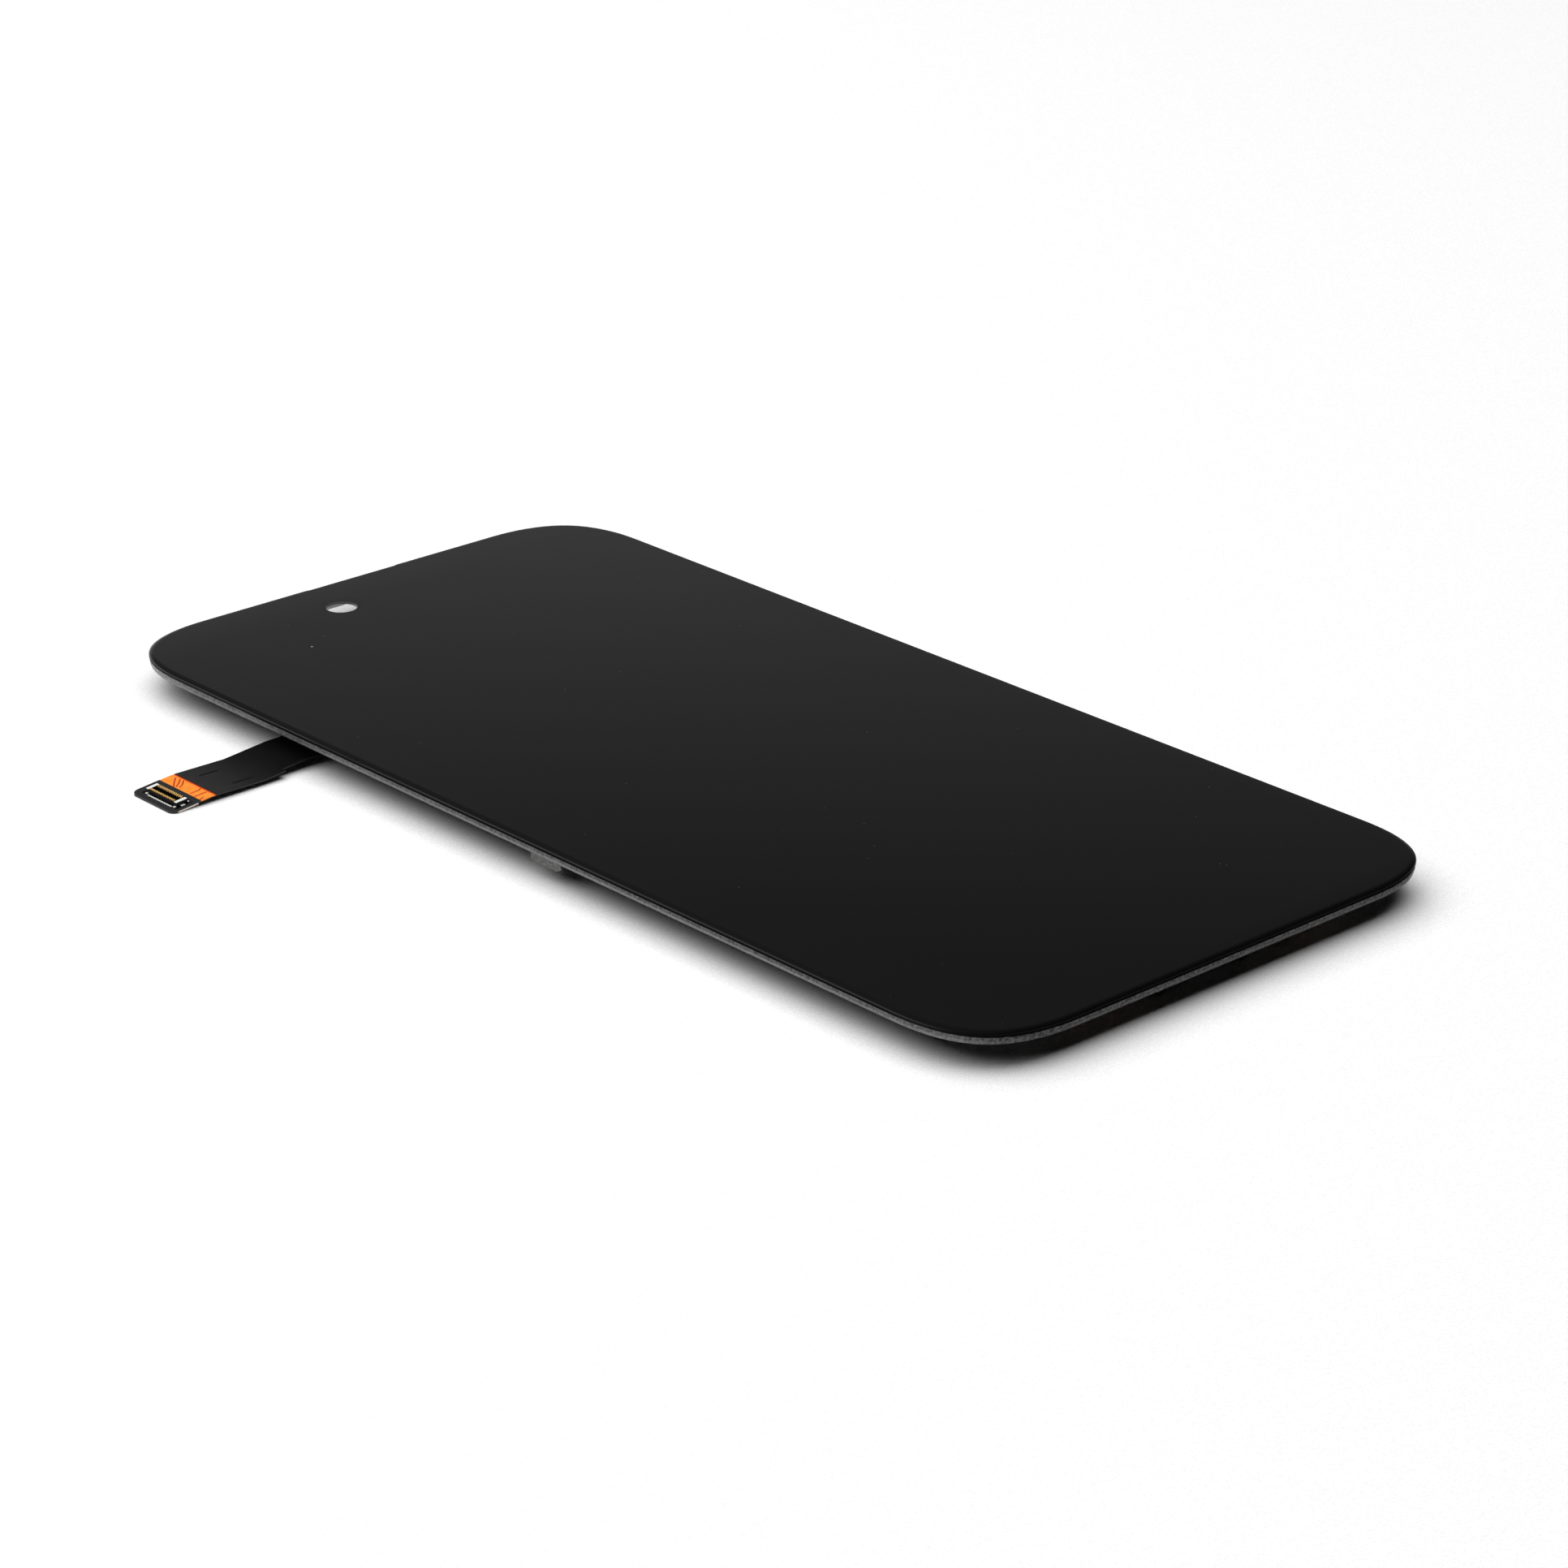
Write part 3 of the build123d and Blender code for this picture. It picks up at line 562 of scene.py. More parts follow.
def ringed_sheet(name, rings):
    """A closed sheet from outlines at rising levels, capped flat at both ends."""
    sketch = bmesh.new()
    loops = [[sketch.verts.new((x, y, level)) for x, y in front_outline(inset)] for inset, level in rings]
    for lower, upper in zip(loops, loops[1:]):
        for number, vert in enumerate(lower):
            after = (number + 1) % len(lower)
            sketch.faces.new((vert, lower[after], upper[after], upper[number]))
    sketch.faces.new(list(reversed(loops[0])))
    sketch.faces.new(loops[-1])
    mesh = bpy.data.meshes.new(name)
    sketch.to_mesh(mesh)
    sketch.free()
    mesh.shade_smooth()
    mesh.set_sharp_from_angle(angle=math.radians(35))
    return mesh


# %% [markdown]
# ### Its finish
# Black gloss with almost nothing to see: a trace of wiping marks in the roughness, a few specks
# of dust and one larger one that lies left of the camera window. The lower part of the rim is
# only ground, not polished, so it is matt. It is painted paler on the near long side, as a painted
# reflection of the white floor, and dark at the ends and along the far sides, as painted shade.
# Over the camera the same glass is clear, so a mask mixes in a shader that lets light through.
# The ink is on the back, so the clear spot is wider on top than underneath.

# %% Black gloss, a ground rim and a clear window
CAMERA_WINDOW = (-6.9, 65.3)
CLEAR_ABOVE = 2.45
CLEAR_BELOW = 1.9
DUST_SPOT = (-17.7, 56.8)
DUST_RADIUS = 0.13
END_FADE = (62.0, 69.0)
FAR_SIDE = (33.0, 34.2)
FAR_END = (71.0, 72.0)
GROUND_DEPTH = 0.30
GROUND_FADE = 0.01
END_LIFT = 0.065
FAR_LIFT = 0.29


def screen_glass():
    recipe = finish("screen_glass")
    x, y, z = recipe.axes()
    wipes = recipe.grain(0.05, 4.0, 0.6, recipe.stretched(1.0, 0.25, 1.0))
    dust = 1 - recipe.cells(0.35).step(0.010, 0.022)
    marks = (dust * 0.5).higher(recipe.near(DUST_SPOT, DUST_RADIUS))
    color = recipe.blend(marks, paint(7, 7, 8), paint(150))
    gloss = recipe.shader(color, 0.05 + wipes * 0.05 + marks * 0.5, IOR=1.5)
    # The ground rim is painted paler on the near long side, as a painted reflection of the white floor,
    # and dark at the ends and along the far sides, as painted shade.
    ends = abs(y).step(*END_FADE)
    far = x.step(*FAR_SIDE).higher(y.step(*FAR_END))
    ground_painted_light = recipe.blend(ends.higher(far), paint(34), paint(12, 12, 13))
    ground = recipe.shader(ground_painted_light, 0.8, Specular_IOR_Level=0.05)
    start = (ends * END_LIFT).higher(far * FAR_LIFT)
    low = 1 - z.step(start - (GROUND_DEPTH + GROUND_FADE), start - (GROUND_DEPTH - GROUND_FADE))
    clear = recipe.shader((1, 1, 1, 1), 0.0, IOR=1.5, Transmission_Weight=1.0)
    above = z.step(-0.3, -0.2)
    radius = above * (CLEAR_ABOVE - CLEAR_BELOW) + CLEAR_BELOW
    window = recipe.near(CAMERA_WINDOW, radius, 0.03)
    return recipe.done(recipe.mixed(window, recipe.mixed(low, gloss, ground), clear))


glass_mesh = ringed_sheet("front_glass", glass_rings)
show("front_glass", glass_mesh, screen_glass(), "cover_glass", "cover_glass")
print("glass faces:", len(glass_mesh.polygons))

# %% [markdown]
# ## Tape, bezel and clips
# Between the glass and the bezel lies a strip of black tape, seen only as a dark line. Its long
# sides are painted a little paler than its ends, as painted light. The bezel is moulded from dark
# grey plastic with a fine spark erosion grain and dusted by handling, so pale and dark specks cover
# it. Its long sides are painted paler than its ends, as painted light and shade, and the two left
# corners and the near right one carry painted highlights on the bezel and the tape. Its top ledge
# under the glass and its underside are painted near black as shade. Its lower edge tapers in and
# looks down on the white floor, so it is painted lighter. The wall behind the camera window is
# painted pale and glows a little, in place of the daylight that finds its way in there. The clips
# are pressed from thin spring steel.

# %% Black tape and satin plastic
CORNER_ACROSS = (20.0, 27.0)
CORNER_FADE = 8.0
NEAR_START = 58.0
FAR_START = 42.0
RIGHT_SHIFT = 7.0


def corner(across, along, start):
    """1 round a corner, where highlights are painted on the tape and the bezel."""
    return across.step(*CORNER_ACROSS) * along.step(start, start + CORNER_FADE)


def three_lit_corners(x, y):
    """The near left, far left and near right corners, where highlights are painted."""
    near_right = corner(x - RIGHT_SHIFT, 0 - y, NEAR_START)
    return corner(0 - x, 0 - y, NEAR_START), corner(0 - x, y, FAR_START), near_right


def black_tape():
    recipe = finish("black_tape")
    x, y, z = recipe.axes()
    fibres = recipe.grain(6.0, 4.0)
    dark = recipe.blend(fibres, paint(9), paint(16))
    pale = recipe.blend(fibres, paint(12), paint(22))
    # Painted light: the tape is paler on its long sides than at its ends, and the three corners are
    # painted light as highlights.
    color = recipe.blend(abs(x).step(30.0, 33.5) * (1 - abs(y).step(62.0, 68.0)), dark, pale)
    near_left, far_left, near_right = three_lit_corners(x, y)
    color = recipe.blend(near_left, color, paint(66))
    color = recipe.blend(far_left.higher(near_right), color, paint(128))
    return recipe.done(recipe.shader(color, 0.75, height=fibres, relief=0.01, Specular_IOR_Level=0.2))


BAY_WALL = (-6.9, 67.7)
BAY_REACH = 4.0
BAY_GLOW = 0.12
BAY_ROOF = (-0.84, -0.80)
BAY_BACK = (67.75, 67.85)
SCAR = (-23.3, -0.99)
SCAR_SLANT = 0.8
TAPER = (-1.10, -1.02)
LEDGE = (-0.71, -0.68)
UNDERSIDE = (-1.449, -1.44)
END_TURN = (66.0, 72.3)


def satin_bezel():
    recipe = finish("satin_bezel")
    x, y, z = recipe.axes()
    grain = recipe.grain(7.0, 4.0, 0.6)
    patches = recipe.grain(1.6, 3.0, 0.55).step(0.3, 0.7)
    mottle = recipe.grain(3.2, 4.0, 0.7).step(0.38, 0.62)
    specks = 1 - recipe.cells(1.3).step(0.05, 0.12)
    # Painted light and shade by place: the long sides are paler towards the far and near ends, the ends
    # are darker, and the far left and near right corners get painted highlights.
    lighter = y.step(-15.0, 45.0).higher((0 - y).step(42.0, 58.0) * 0.7)
    taper = 1 - z.step(*TAPER)
    sides = recipe.blend(lighter, paint(68, 68, 70), paint(90, 90, 91))
    sides = recipe.blend(taper, sides, recipe.blend(lighter, paint(126), paint(118)))
    sides = recipe.blend(y.step(54.0, 68.0) * (0 - x).step(16.0, 26.0), sides, paint(164))
    ends = recipe.blend(taper, paint(36), paint(62))
    ends = recipe.blend(x.step(27.0, 34.6), ends, paint(198))
    tone = recipe.blend((0 - y).step(*END_TURN), sides, ends)
    tone = recipe.blend(patches * 0.12 + (1 - mottle) * 0.34, tone, paint(14))
    color = recipe.blend((mottle * 0.18).higher(specks * 0.4), tone, paint(186))
    scar = 1 - abs(x - SCAR[0] - (z - SCAR[1]) * SCAR_SLANT).step(0.05, 0.12)
    scar = scar * (1 - abs(z - SCAR[1]).step(0.20, 0.30)) * (0 - y).step(70.0, 71.0)
    near_left, far_left, near_right = three_lit_corners(x, y)
    # Painted shade: the top ledge under the glass, except at the lit corners, and the underside are
    # painted near black; the scar is a real mark.
    ledge = z.step(*LEDGE) * (1 - near_left.higher(far_left).higher(near_right))
    dark = ledge.higher(1 - z.step(*UNDERSIDE)).higher(scar)
    color = recipe.blend(dark, color, paint(16))
    # Painted light: the wall behind the camera window is painted pale and made to glow, in place of the
    # light that comes in there.
    bay = recipe.near(BAY_WALL, BAY_REACH, 0.5) * (1 - z.step(*BAY_ROOF)) * (1 - y.step(*BAY_BACK))
    color = recipe.blend(bay, color, paint(196))
    lit = recipe.blend(bay, (0, 0, 0, 1), (1, 1, 1, 1))
    fixed = {"Specular_IOR_Level": 0.15, "Emission_Color": lit, "Emission_Strength": BAY_GLOW}
    return recipe.done(recipe.shader(color, 0.42 + grain * 0.18, height=grain, relief=0.012, **fixed))


tape = black_tape()
bezel = satin_bezel()
dress(tape, "bezel_tape", "board_adhesive")
soften("bezel_frame", bezel, "frame_plastic", 0.03)


# %% Blackened spring steel
def spring_steel():
    recipe = finish("spring_steel")
    rolled = recipe.grain(3.0, 4.0, 0.6, recipe.stretched(0.15, 1.0, 1.0))
    rubbed = recipe.grain(3.5, 4.0, 0.65).step(0.40, 0.66)
    color = recipe.blend(rubbed, paint(76, 75, 74), paint(122, 121, 119))
    rough = 0.45 + rolled * 0.2
    return recipe.done(recipe.shader(color, rough, 0.3, height=rolled, relief=0.004))


clip_steel = spring_steel()
soften("side_clips", clip_steel, "clip_steel", 0.03)
soften("top_hooks", clip_steel, "clip_steel", 0.03)

# %% [markdown]
# ## Flexible tail
# The tail is a thin copper and polyimide laminate. Black cover film hides it but for one band of
# bare amber film near the tip, where a few copper tracks show through as darker lines. Only the
# top of that band is amber; the cut edges and the rest of the board are dark. Cover film is matt
# with a few faint dark dashes painted along it. It is painted blacker near the glass, as shade
# from the module. The steel under the tip is bright, and painted dark as shade at its rounded end.

# %% Amber film, black cover film and the steel under the tip
BAND = (-49.10, -47.05)
BAND_FADE = 0.02
BORDER = (0.26, 0.16)
DARK_DASHES = (((-45.40, 41.03), 2.6), ((-43.85, 36.85), 2.7))
DASH_HALF = 0.15
DASH_FADE = 0.1
SHADED_END = -52.3
SHADED_FADE = 0.3


def amber_film():
    recipe = finish("amber_film")
    x, y, z = recipe.axes()
    cloud = recipe.grain(1.6, 3.0)
    weave = recipe.grain(14.0, 2.0)
    amber = recipe.blend(cloud.step(0.25, 0.75), paint(255, 134, 34), paint(255, 152, 52))
    dark = recipe.blend(cloud, paint(8, 8, 7), paint(13, 12, 11))
    inside = x.step(BAND[0] - BAND_FADE, BAND[0]) * (1 - x.step(BAND[1], BAND[1] + BAND_FADE))
    border = x.step(BAND[1] - BORDER[0], BAND[1] - BORDER[1])
    color = recipe.blend(inside, dark, recipe.blend(border, amber, paint(206, 66, 18)))
    return recipe.done(recipe.shader(color, 0.42, height=weave, relief=0.003))


def cover_film():
    recipe = finish("cover_film")
    x, y, z = recipe.axes()
    matt = recipe.grain(9.0, 3.0)
    cloud = recipe.grain(0.5, 2.0)
    broken = recipe.grain(3.0, 2.0).step(0.28, 0.42)
    # A few faint near black dashes are painted along the film.
    dashes = 0.0
    for (start, across), length in DARK_DASHES:
        over = (x - start).step(0.0, DASH_FADE) * (1 - (x - start).step(length, length + DASH_FADE))
        beside = 1 - abs(y - across).step(DASH_HALF * 0.5, DASH_HALF * 1.5)
        dashes = beside * over * broken + dashes
    near_tip = recipe.blend(cloud, paint(35, 34, 35), paint(42, 41, 42))
    shaded_near_glass = recipe.blend(cloud, paint(8, 8, 9), paint(13, 13, 14))
    # Painted shade: the film is painted blacker towards the glass, where the module's shade falls on the
    # tail.
    color = recipe.blend(x.step(-47.0, -36.5), near_tip, shaded_near_glass)
    color = recipe.blend(dashes, color, paint(2))
    rough = 0.55 + matt * 0.15
    return recipe.done(recipe.shader(color, rough, height=matt, relief=0.004, Specular_IOR_Level=0.35))


def rolled_steel():
    recipe = finish("rolled_steel")
    lines = recipe.grain(5.0, 4.0, 0.6, recipe.stretched(1.0, 0.05, 1.0))
    stain = recipe.grain(0.12, 3.0)
    color = recipe.blend(stain, paint(232, 218, 208), paint(246, 234, 224))
    x, y, z = recipe.axes()
    # Painted shade: the steel is painted dark round the tip's rounded end.
    color = recipe.blend(x.step(SHADED_END, SHADED_END + SHADED_FADE), paint(22), color)
    return recipe.done(recipe.shader(color, 0.26 + lines * 0.18, 0.25, height=lines, relief=0.002))


amber = amber_film()
cover = cover_film()
steel = rolled_steel()
dress(amber, "main_flex")
dress(cover, "tail_cover_film", "tip_cover_film", "tail_under_film")
dress(steel, "stiffener")

# %% [markdown]
# ### Tracks in the amber band
# A few bent copper tracks cross the band. Each starts as a line over the band; the tree drops
# it onto the board by casting rays straight down, and sweeps a thin strip along it. The strips
# are half sunk, so only a trace stands proud of the film.

# %% Tracks that follow the film's surface
TRACK_WIDTH = 0.18
TRACK_HEIGHT = 0.024
TRACK_POINTS = 9
RAY_REACH = 20.0
TRACKS = (
    ((-47.60, 42.38, 0), (-48.68, 41.17, 0), (-49.02, 40.67, 0)),
    ((-47.42, 41.70, 0), (-48.21, 40.90, 0), (-48.90, 40.42, 0)),
    ((-47.36, 41.18, 0), (-48.04, 40.37, 0), (-48.75, 40.00, 0)),
    ((-47.23, 38.04, 0), (-47.80, 37.75, 0), (-48.85, 37.84, 0)),
    ((-47.35, 36.78, 0), (-47.92, 36.79, 0), (-49.06, 36.79, 0)),
    ((-48.40, 35.96, 0), (-49.06, 35.73, 0)),
)


def copper_track():
    recipe = finish("copper_track")
    cloud = recipe.grain(3.0, 3.0)
    color = recipe.blend(cloud, paint(176, 44, 4), paint(204, 62, 10))
    return recipe.done(recipe.shader(color, 0.42))


def tail_tracks():
    sizes = {"Width": TRACK_WIDTH * MM, "Height": TRACK_HEIGHT * MM, "Reach": RAY_REACH * MM}
    growth = Growth("tail_tracks", **sizes, Points=TRACK_POINTS)
    lines = growth.node("GeometryNodeMeshToCurve", {}, {0: growth.given()})
    even = growth.node("GeometryNodeResampleCurve", {}, {"Curve": lines, "Count": growth.given("Points")})
    flex = {"Object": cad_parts["main_flex"]}
    board = growth.node("GeometryNodeObjectInfo", {}, flex, out="Geometry")
    ray = {"Target Geometry": board, "Ray Direction": (0, 0, -1), "Ray Length": growth.given("Reach")}
    below = growth.node("GeometryNodeRaycast", {}, ray, out="Hit Position")
    laid = growth.node("GeometryNodeSetPosition", {}, {"Geometry": even, "Position": below})
    strips = growth.swept(laid, growth.given("Width"), growth.given("Height"), level=True)
    return growth, strips


track_copper = copper_track()
growth, strips = tail_tracks()
track_mesh = growth.grown(strips, track_copper, bent_lines("track_lines", *TRACKS))
show("tail_tracks", track_mesh, track_copper, "flex_film")

# %% [markdown]
# ## Connector on the tip
# A board to board plug: a black liquid crystal polymer tub, gold plated contacts in two rows and
# a bright tin plated cap over each end. It is under six millimetres long, so what reads from a
# step away is gold, black, gold, black and a silver line of solder. A contact is a strip bent
# from the foot, under the wall, up the trench's side and out over the top. One strip is swept
# along that line, copied in a row, and the row is turned round for the other side. The light
# reaches only their tops, so the gold is painted nearly black below them.

# %% Where the tub stands on the sloping tip
TIP_TILT = math.radians(5.6)
TUB_WIDTH = 1.50 * MM
tub_low, tub_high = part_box("connector_housing")
tub_spot = (
    tub_high.x - TUB_WIDTH / 2 * math.cos(TIP_TILT),
    (tub_low.y + tub_high.y) / 2,
    tub_low.z + TUB_WIDTH / 2 * math.sin(TIP_TILT),
)
tub_turn = (0.0, -TIP_TILT, 0.0)
print("tub foot at", [round(v / MM, 2) for v in tub_spot], "mm")


# %% Moulding, gold and tin
def black_moulding():
    recipe = finish("black_moulding")
    grain = recipe.grain(8.0, 3.0)
    color = recipe.blend(grain, paint(8, 8, 9), paint(14, 14, 15))
    rough = 0.5 + grain * 0.15
    return recipe.done(recipe.shader(color, rough, height=grain, relief=0.005, Specular_IOR_Level=0.3))


GOLD_TOP = (0.45, 0.50)


def gold_plate(name, top_only=False):
    recipe = finish(name)
    wear = recipe.grain(4.0, 3.0)
    color = recipe.blend(wear, paint(255, 198, 108), paint(255, 220, 142))
    if top_only:
        x, y, z = recipe.axes()
        slope, rise = math.sin(TIP_TILT), math.cos(TIP_TILT)
        height = (z - tub_spot[2] / MM) * rise - (x - tub_spot[0] / MM) * slope
        # With top_only, the gold is painted nearly black below the contacts' tops, as painted shade.
        color = recipe.blend(height.step(*GOLD_TOP), paint(12, 10, 8), color)
    return recipe.done(recipe.shader(color, 0.3 + wear * 0.14, 0.05))


def bright_tin():
    recipe = finish("bright_tin")
    cloud = recipe.grain(6.0, 4.0)
    color = recipe.blend(cloud, paint(236, 236, 230), paint(252, 252, 246))
    return recipe.done(recipe.shader(color, 0.25 + cloud * 0.16, 0.12, height=cloud, relief=0.004))


moulding = black_moulding()
gold = gold_plate("gold_plate")
gold_shaded_below = gold_plate("gold_contacts", top_only=True)
tin = bright_tin()
soften("connector_housing", moulding, "black_moulding", 0.02)
soften("connector_end_clips", tin, "tin_plate", 0.02)
soften("lug_bracket", moulding, "black_moulding", 0.05)

# %% Two rows of bent gold contacts
CONTACTS = 13
CONTACT_PITCH = 0.35
CONTACT_WIDTH = 0.23
STRIP = 0.07
FOOT_OUT = 1.03
FACE_IN = 0.455
LIP_OUT = 0.66
LIP_TOP = 0.535
CONTACT_BEND = 0.06
contact_line = (
    (FOOT_OUT, 0, STRIP / 2),
    (FACE_IN, 0, STRIP / 2),
    (FACE_IN, 0, LIP_TOP),
    (LIP_OUT, 0, LIP_TOP),
)


def contact_rows():
    sizes = {"Width": CONTACT_WIDTH, "Pitch": CONTACT_PITCH, "Strip": STRIP, "Bend": CONTACT_BEND}
    growth = Growth("gold_contacts", Count=CONTACTS, **{label: size * MM for label, size in sizes.items()})
    line = growth.node("GeometryNodeMeshToCurve", {}, {0: growth.given()})
    bend = {"Curve": line, "Radius": growth.given("Bend"), "Count": 4, "Limit Radius": True}
    bent = growth.node("GeometryNodeFilletCurve", {"mode": "POLY"}, bend)
    strip = growth.swept(bent, growth.given("Strip"), growth.given("Width"))
    side = growth.row(strip, growth.given("Count"), growth.given("Pitch"), axis=1)
    both = growth.join(side, growth.moved(side, turn=(0, 0, math.pi)))
    return growth, growth.moved(both, tub_spot, tub_turn)


growth, contacts = contact_rows()
contact_mesh = growth.grown(contacts, gold_shaded_below, bent_lines("contact_line", contact_line))
show("gold_contacts", contact_mesh, gold_shaded_below, "gold_plate", "connector_contacts")

# %% Solder at the contacts' feet
SOLDER_OUT = 1.02
BEAD_RADIUS = 0.10
BEAD_SHAPE = (1.7, 1.5, 0.9)


def solder_rows():
    sizes = {"Pitch": CONTACT_PITCH * MM, "Out": SOLDER_OUT * MM, "Size": BEAD_RADIUS * MM}
    growth = Growth("foot_solder", Count=CONTACTS, **sizes)
    places = {"Segments": 10, "Rings": 6, "Radius": growth.given("Size")}
    bead = growth.moved(growth.node("GeometryNodeMeshUVSphere", {}, places), scale=BEAD_SHAPE)
    placed = growth.moved(bead, growth.vector(growth.given("Out")))
    side = growth.row(placed, growth.given("Count"), growth.given("Pitch"), axis=1)
    both = growth.join(side, growth.moved(side, turn=(0, 0, math.pi)))
    return growth, growth.moved(both, tub_spot, tub_turn)


growth, beads = solder_rows()
solder_mesh = growth.grown(beads, tin)
solder_mesh.shade_smooth()
show("foot_solder", solder_mesh, tin, "tin_plate")

# %% [markdown]
# ## Lugs and their threaded inserts
# Two brass inserts sit in the lugs. Their bores are modelled plain in the solids, so the turns
# of the thread are grown here: a spiral with a three sided profile, once for each bore.

# %% Threads in the two bores
BORE_RADIUS = 0.45
THREAD_PITCH = 0.25
THREAD_RIDGE = 0.07
THREAD_INSET = 0.1


def turned_brass():
    recipe = finish("turned_brass")
    turned = recipe.grain(4.0, 3.0, 0.6, recipe.stretched(1.0, 8.0, 1.0))
    color = recipe.blend(turned, paint(120, 100, 60), paint(150, 128, 82))
    return recipe.done(recipe.shader(color, 0.3 + turned * 0.15, 0.8, height=turned, relief=0.003))


def bore_threads(left, right, length):
    sizes = {"Radius": BORE_RADIUS * MM, "Ridge": THREAD_RIDGE * MM, "Length": length}
    growth = Growth("bore_threads", **sizes, Turns=length / MM / THREAD_PITCH)
    turns, radius = growth.given("Turns"), growth.given("Radius")
    spiral = {"Resolution": 20, "Rotations": turns, "Start Radius": radius, "End Radius": radius}
    helix = growth.node("GeometryNodeCurveSpiral", {}, {**spiral, "Height": growth.given("Length")})
    corners = {"Resolution": 3, "Radius": growth.given("Ridge")}
    ridge = growth.node("GeometryNodeCurvePrimitiveCircle", {}, corners)
    sweep = {"Curve": helix, "Profile Curve": ridge, "Fill Caps": True}
    thread = growth.node("GeometryNodeCurveToMesh", {}, sweep)
    along = growth.moved(thread, turn=(-math.pi / 2, 0, 0))
    return growth, growth.join(growth.moved(along, left), growth.moved(along, right))


brass = turned_brass()
dress(brass, "screw_inserts")
insert_low, insert_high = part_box("screw_inserts")
insert_radius = (insert_high.z - insert_low.z) / 2
insert_places = [
    (x, insert_low.y + THREAD_INSET * MM, insert_low.z + insert_radius)
    for x in (insert_low.x + insert_radius, insert_high.x - insert_radius)
]
thread_length = insert_high.y - insert_low.y - 2 * THREAD_INSET * MM
growth, threads = bore_threads(*insert_places, thread_length)
show("bore_threads", growth.grown(threads, brass), brass, "insert_brass")

# %% [markdown]
# ## Sheets behind the glass
# Adhesive, polarizer and the screen itself are dark gloss films; only their cut edges and the
# folded end of the screen can be seen. Behind them lie fine black foam, copper foil and the back
# plate, which is coated black so that it can't short the phone's board. A film keeps a faint
# ripple, foam shows its cells, and foil its rolling marks.

# %% Films, foam and foil
def dark_film(name, low, high, rough):
    recipe = finish(name)
    cloud = recipe.grain(0.4, 3.0)
    ripple = recipe.grain(0.15, 2.0)
    color = recipe.blend(cloud, low, high)
    return recipe.done(recipe.shader(color, rough + cloud * 0.06, height=ripple, relief=0.02))


def folded_screen():
    recipe = finish("folded_screen")
    x, y, z = recipe.axes()
    cloud = recipe.grain(0.8, 3.0)
    lines = recipe.ribs(6.0, "X").step(0.4, 0.6) * (1 - z.step(-1.3, -1.2)) * y.step(-70.0, -69.5)
    color = recipe.blend(cloud, paint(34, 26, 18), paint(46, 35, 24))
    color = recipe.blend(lines * 0.6, color, paint(92, 66, 38))
    return recipe.done(recipe.shader(color, 0.3 + cloud * 0.1, height=lines, relief=0.004))


def bare_silicon():
    recipe = finish("bare_silicon")
    blocks = recipe.cells(1.4, recipe.stretched(1.0, 3.0, 1.0))
    color = recipe.blend(blocks, paint(44, 48, 58), paint(66, 70, 80))
    return recipe.done(recipe.shader(color, 0.12 + blocks * 0.1, 0.2))


def black_foam():
    recipe = finish("black_foam")
    pores = recipe.cells(7.0)
    color = recipe.blend(pores, paint(12), paint(34))
    return recipe.done(recipe.shader(color, 0.9, height=pores, relief=0.03))


def copper_foil():
    recipe = finish("copper_foil")
    lines = recipe.grain(3.0, 4.0, 0.6, recipe.stretched(1.0, 0.08, 1.0))
    color = recipe.blend(lines, paint(196, 124, 86), paint(216, 148, 108))
    return recipe.done(recipe.shader(color, 0.3 + lines * 0.15, 0.9, height=lines, relief=0.002))


def coated_plate():
    recipe = finish("coated_plate")
    orange_peel = recipe.grain(2.4, 3.0)
    cloud = recipe.grain(0.08, 4.0)
    scratches = recipe.grain(1.8, 2.0, 0.5, recipe.stretched(0.06, 1.6, 1.0)).step(0.70, 0.74)
    color = recipe.blend(cloud, paint(30, 30, 32), paint(40, 40, 42))
    color = recipe.blend(scratches * 0.35, color, paint(92, 91, 88))
    rough = 0.42 + orange_peel * 0.14
    return recipe.done(recipe.shader(color, rough, height=orange_peel, relief=0.006))


foam = black_foam()
dress(dark_film("clear_bond", paint(10), paint(15), 0.2), "bond_adhesive")
dress(dark_film("polarizer_film", paint(14, 13, 18), paint(22, 20, 26), 0.12), "polarizer")
dress(dark_film("sensor_ink", paint(9, 9, 11), paint(13, 12, 15), 0.1), "sensor_film")
dress(folded_screen(), "display_panel")
dress(bare_silicon(), "driver_chip")
dress(foam, "cushion_foam", "camera_gasket")
dress(copper_foil(), "heat_spreader")
dress(coated_plate(), "back_plate")

# %% [markdown]
# ## Board on the back
# The head of the flexible board carries a touch chip, a memory chip, two coils, two rows of
# small capacitors and a pressed can over the power chip. Chip packages are black resin with a
# fine grain and a small round mark at one corner that tells their first pin. The capacitors are
# ceramic blocks with tinned ends, and the board has a double row of gold test pads.

# %% Resin packages and the pressed can
MARK_INSET = 0.6
MARK_RADIUS = 0.16


def chip_resin(node):
    recipe = finish(node + "_resin")
    low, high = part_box(node)
    grain = recipe.grain(12.0, 3.0)
    mark = recipe.near((low.x / MM + MARK_INSET, high.y / MM - MARK_INSET), MARK_RADIUS)
    color = recipe.blend(grain, paint(22, 22, 23), paint(36, 36, 37))
    color = recipe.blend(mark, color, paint(52, 52, 53))
    relief = grain * 0.3 - mark
    return recipe.done(recipe.shader(color, 0.55 + grain * 0.2 - mark * 0.2, height=relief, relief=0.03))


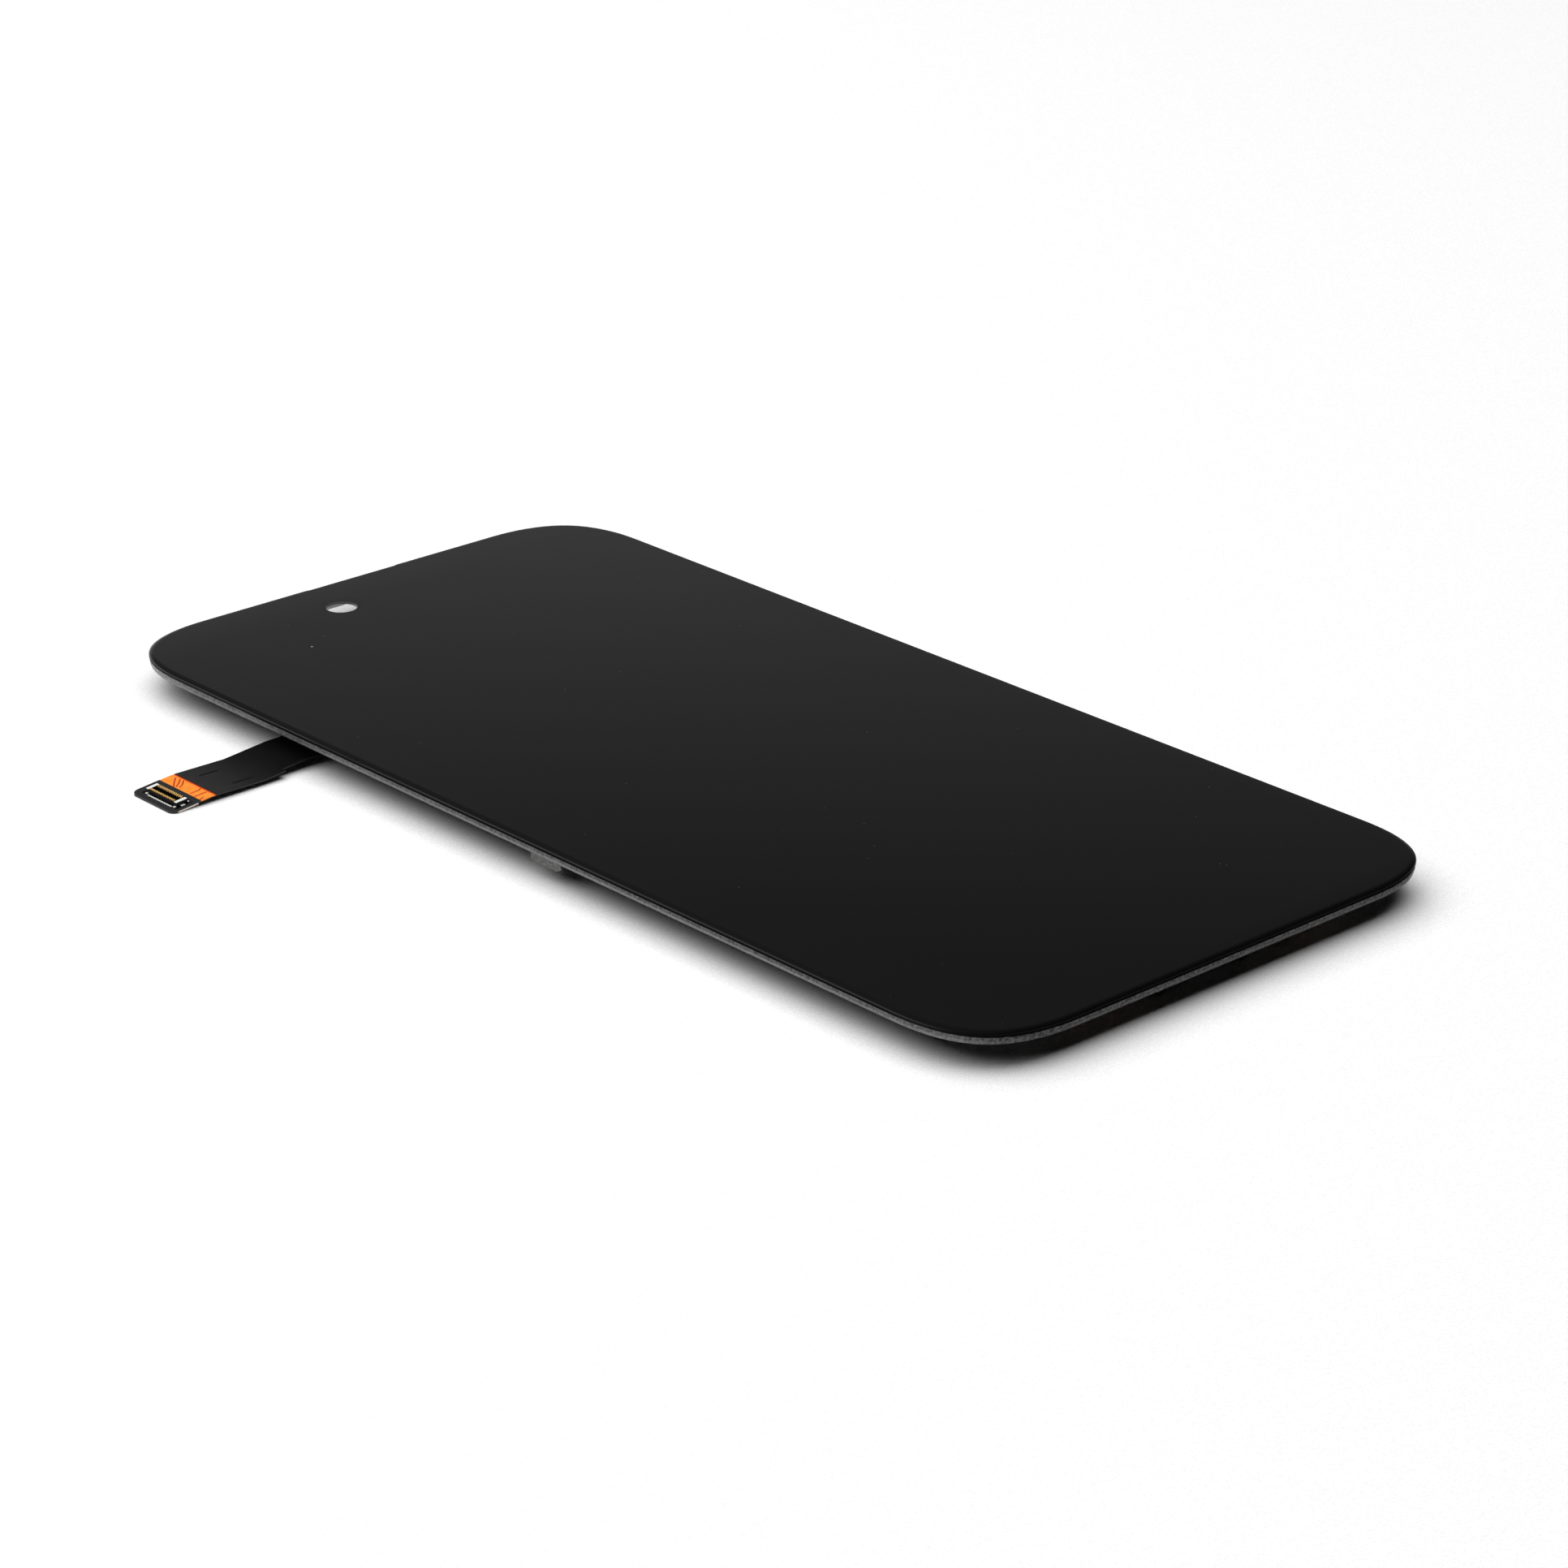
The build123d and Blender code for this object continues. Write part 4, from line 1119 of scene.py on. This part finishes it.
def pressed_can():
    recipe = finish("pressed_can")
    rolled = recipe.grain(3.0, 4.0, 0.6, recipe.stretched(0.1, 1.0, 1.0))
    handled = recipe.grain(0.5, 3.0).step(0.45, 0.75)
    color = recipe.blend(rolled, paint(196, 194, 186), paint(214, 212, 204))
    rough = 0.28 + rolled * 0.12 + handled * 0.1
    return recipe.done(recipe.shader(color, rough, 0.7, height=rolled, relief=0.003))


for chip in ("touch_chip", "power_chip", "memory_chip", "inductors"):
    dress(chip_resin(chip), chip)
soften("shield_can", pressed_can(), "can_metal", 0.12, 3)


# %% Capacitors: ceramic blocks and their tinned ends
CHIP_COLUMNS = 7
CHIP_PITCH = 1.3
CHIP_WIDTH = 0.5
CHIP_LENGTH = 1.0
CHIP_CAP = 0.22
CHIP_SHRINK = 0.02
parts_low, parts_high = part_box("capacitors")
parts_spot = tuple((parts_low[k] + parts_high[k]) / 2 for k in range(3))
parts_height = parts_high.z - parts_low.z
parts_apart = parts_high.y - parts_low.y - CHIP_LENGTH * MM


def ceramic_body():
    recipe = finish("ceramic_body")
    cloud = recipe.grain(2.0, 3.0)
    color = recipe.blend(cloud, paint(150, 118, 86), paint(170, 138, 104))
    return recipe.done(recipe.shader(color, 0.4 + cloud * 0.1))


def chip_rows(name, blocks):
    """Two rows of chips, each made of blocks: length, shrink, and distance from the middle."""
    sizes = {"Pitch": CHIP_PITCH * MM, "Apart": parts_apart, "Width": CHIP_WIDTH * MM}
    growth = Growth(name, Columns=CHIP_COLUMNS, **sizes)
    shapes = []
    for length, shrink, away in blocks:
        width = growth.given("Width") - shrink * MM
        size = growth.vector(width, length * MM, parts_height - shrink * MM)
        block = growth.node("GeometryNodeMeshCube", {}, {"Size": size})
        shapes.append(growth.moved(block, (0, away * MM, 0)))
    row = growth.row(growth.join(*shapes), growth.given("Columns"), growth.given("Pitch"))
    half = growth.given("Apart") * 0.5
    behind = growth.moved(row, growth.vector(0.0, half))
    both = growth.join(behind, growth.moved(row, growth.vector(0.0, 0 - half)))
    return growth, growth.moved(both, parts_spot)


ceramic = ceramic_body()
cap_away = (CHIP_LENGTH - CHIP_CAP) / 2
body_length = CHIP_LENGTH - 2 * CHIP_CAP
growth, bodies = chip_rows("capacitor_bodies", [(body_length, 2 * CHIP_SHRINK, 0.0)])
show("capacitor_bodies", growth.grown(bodies, ceramic), ceramic, "ceramic", "capacitors")
two_caps = [(CHIP_CAP, 0.0, cap_away), (CHIP_CAP, 0.0, -cap_away)]
growth, caps = chip_rows("capacitor_ends", two_caps)
edged(show("capacitor_ends", growth.grown(caps, tin), tin, "tin_plate"), 0.04)

# %% Gold test pads on the board's stem
PAD_SPOT = (-17.4, -12.0)
PAD_ROWS = 8
PAD_PITCH = 2.0
PAD_RADIUS = 0.42
PAD_THICK = 0.03
chip_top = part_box("touch_chip")[1].z


def test_pads():
    sizes = {"Pitch": PAD_PITCH * MM, "Radius": PAD_RADIUS * MM, "Thick": PAD_THICK * MM}
    growth = Growth("test_pads", Rows=PAD_ROWS, **sizes)
    places = {"Vertices": 20, "Radius": growth.given("Radius"), "Depth": growth.given("Thick")}
    pad = growth.node("GeometryNodeMeshCylinder", {}, places)
    row = growth.row(pad, growth.given("Rows"), growth.given("Pitch"), axis=1)
    half = growth.given("Pitch") * 0.5
    right = growth.moved(row, growth.vector(half))
    both = growth.join(right, growth.moved(row, growth.vector(0 - half)))
    return growth, growth.moved(both, (PAD_SPOT[0] * MM, PAD_SPOT[1] * MM, chip_top))


growth, pads = test_pads()
show("test_pads", growth.grown(pads, gold), gold, "gold_plate")


# %% Woven pads on the back plate
def woven_metal():
    recipe = finish("woven_metal")
    warp, weft = recipe.ribs(5.0, "X"), recipe.ribs(5.0, "Y")
    weave = warp * weft
    cloud = recipe.grain(1.0, 3.0)
    color = recipe.blend(weave, paint(92, 92, 94), paint(170, 170, 172))
    return recipe.done(recipe.shader(color, 0.45 + cloud * 0.15, 0.5, height=weave, relief=0.03))


soften("ground_pads", woven_metal(), "conductive_fabric", 0.12, 3)
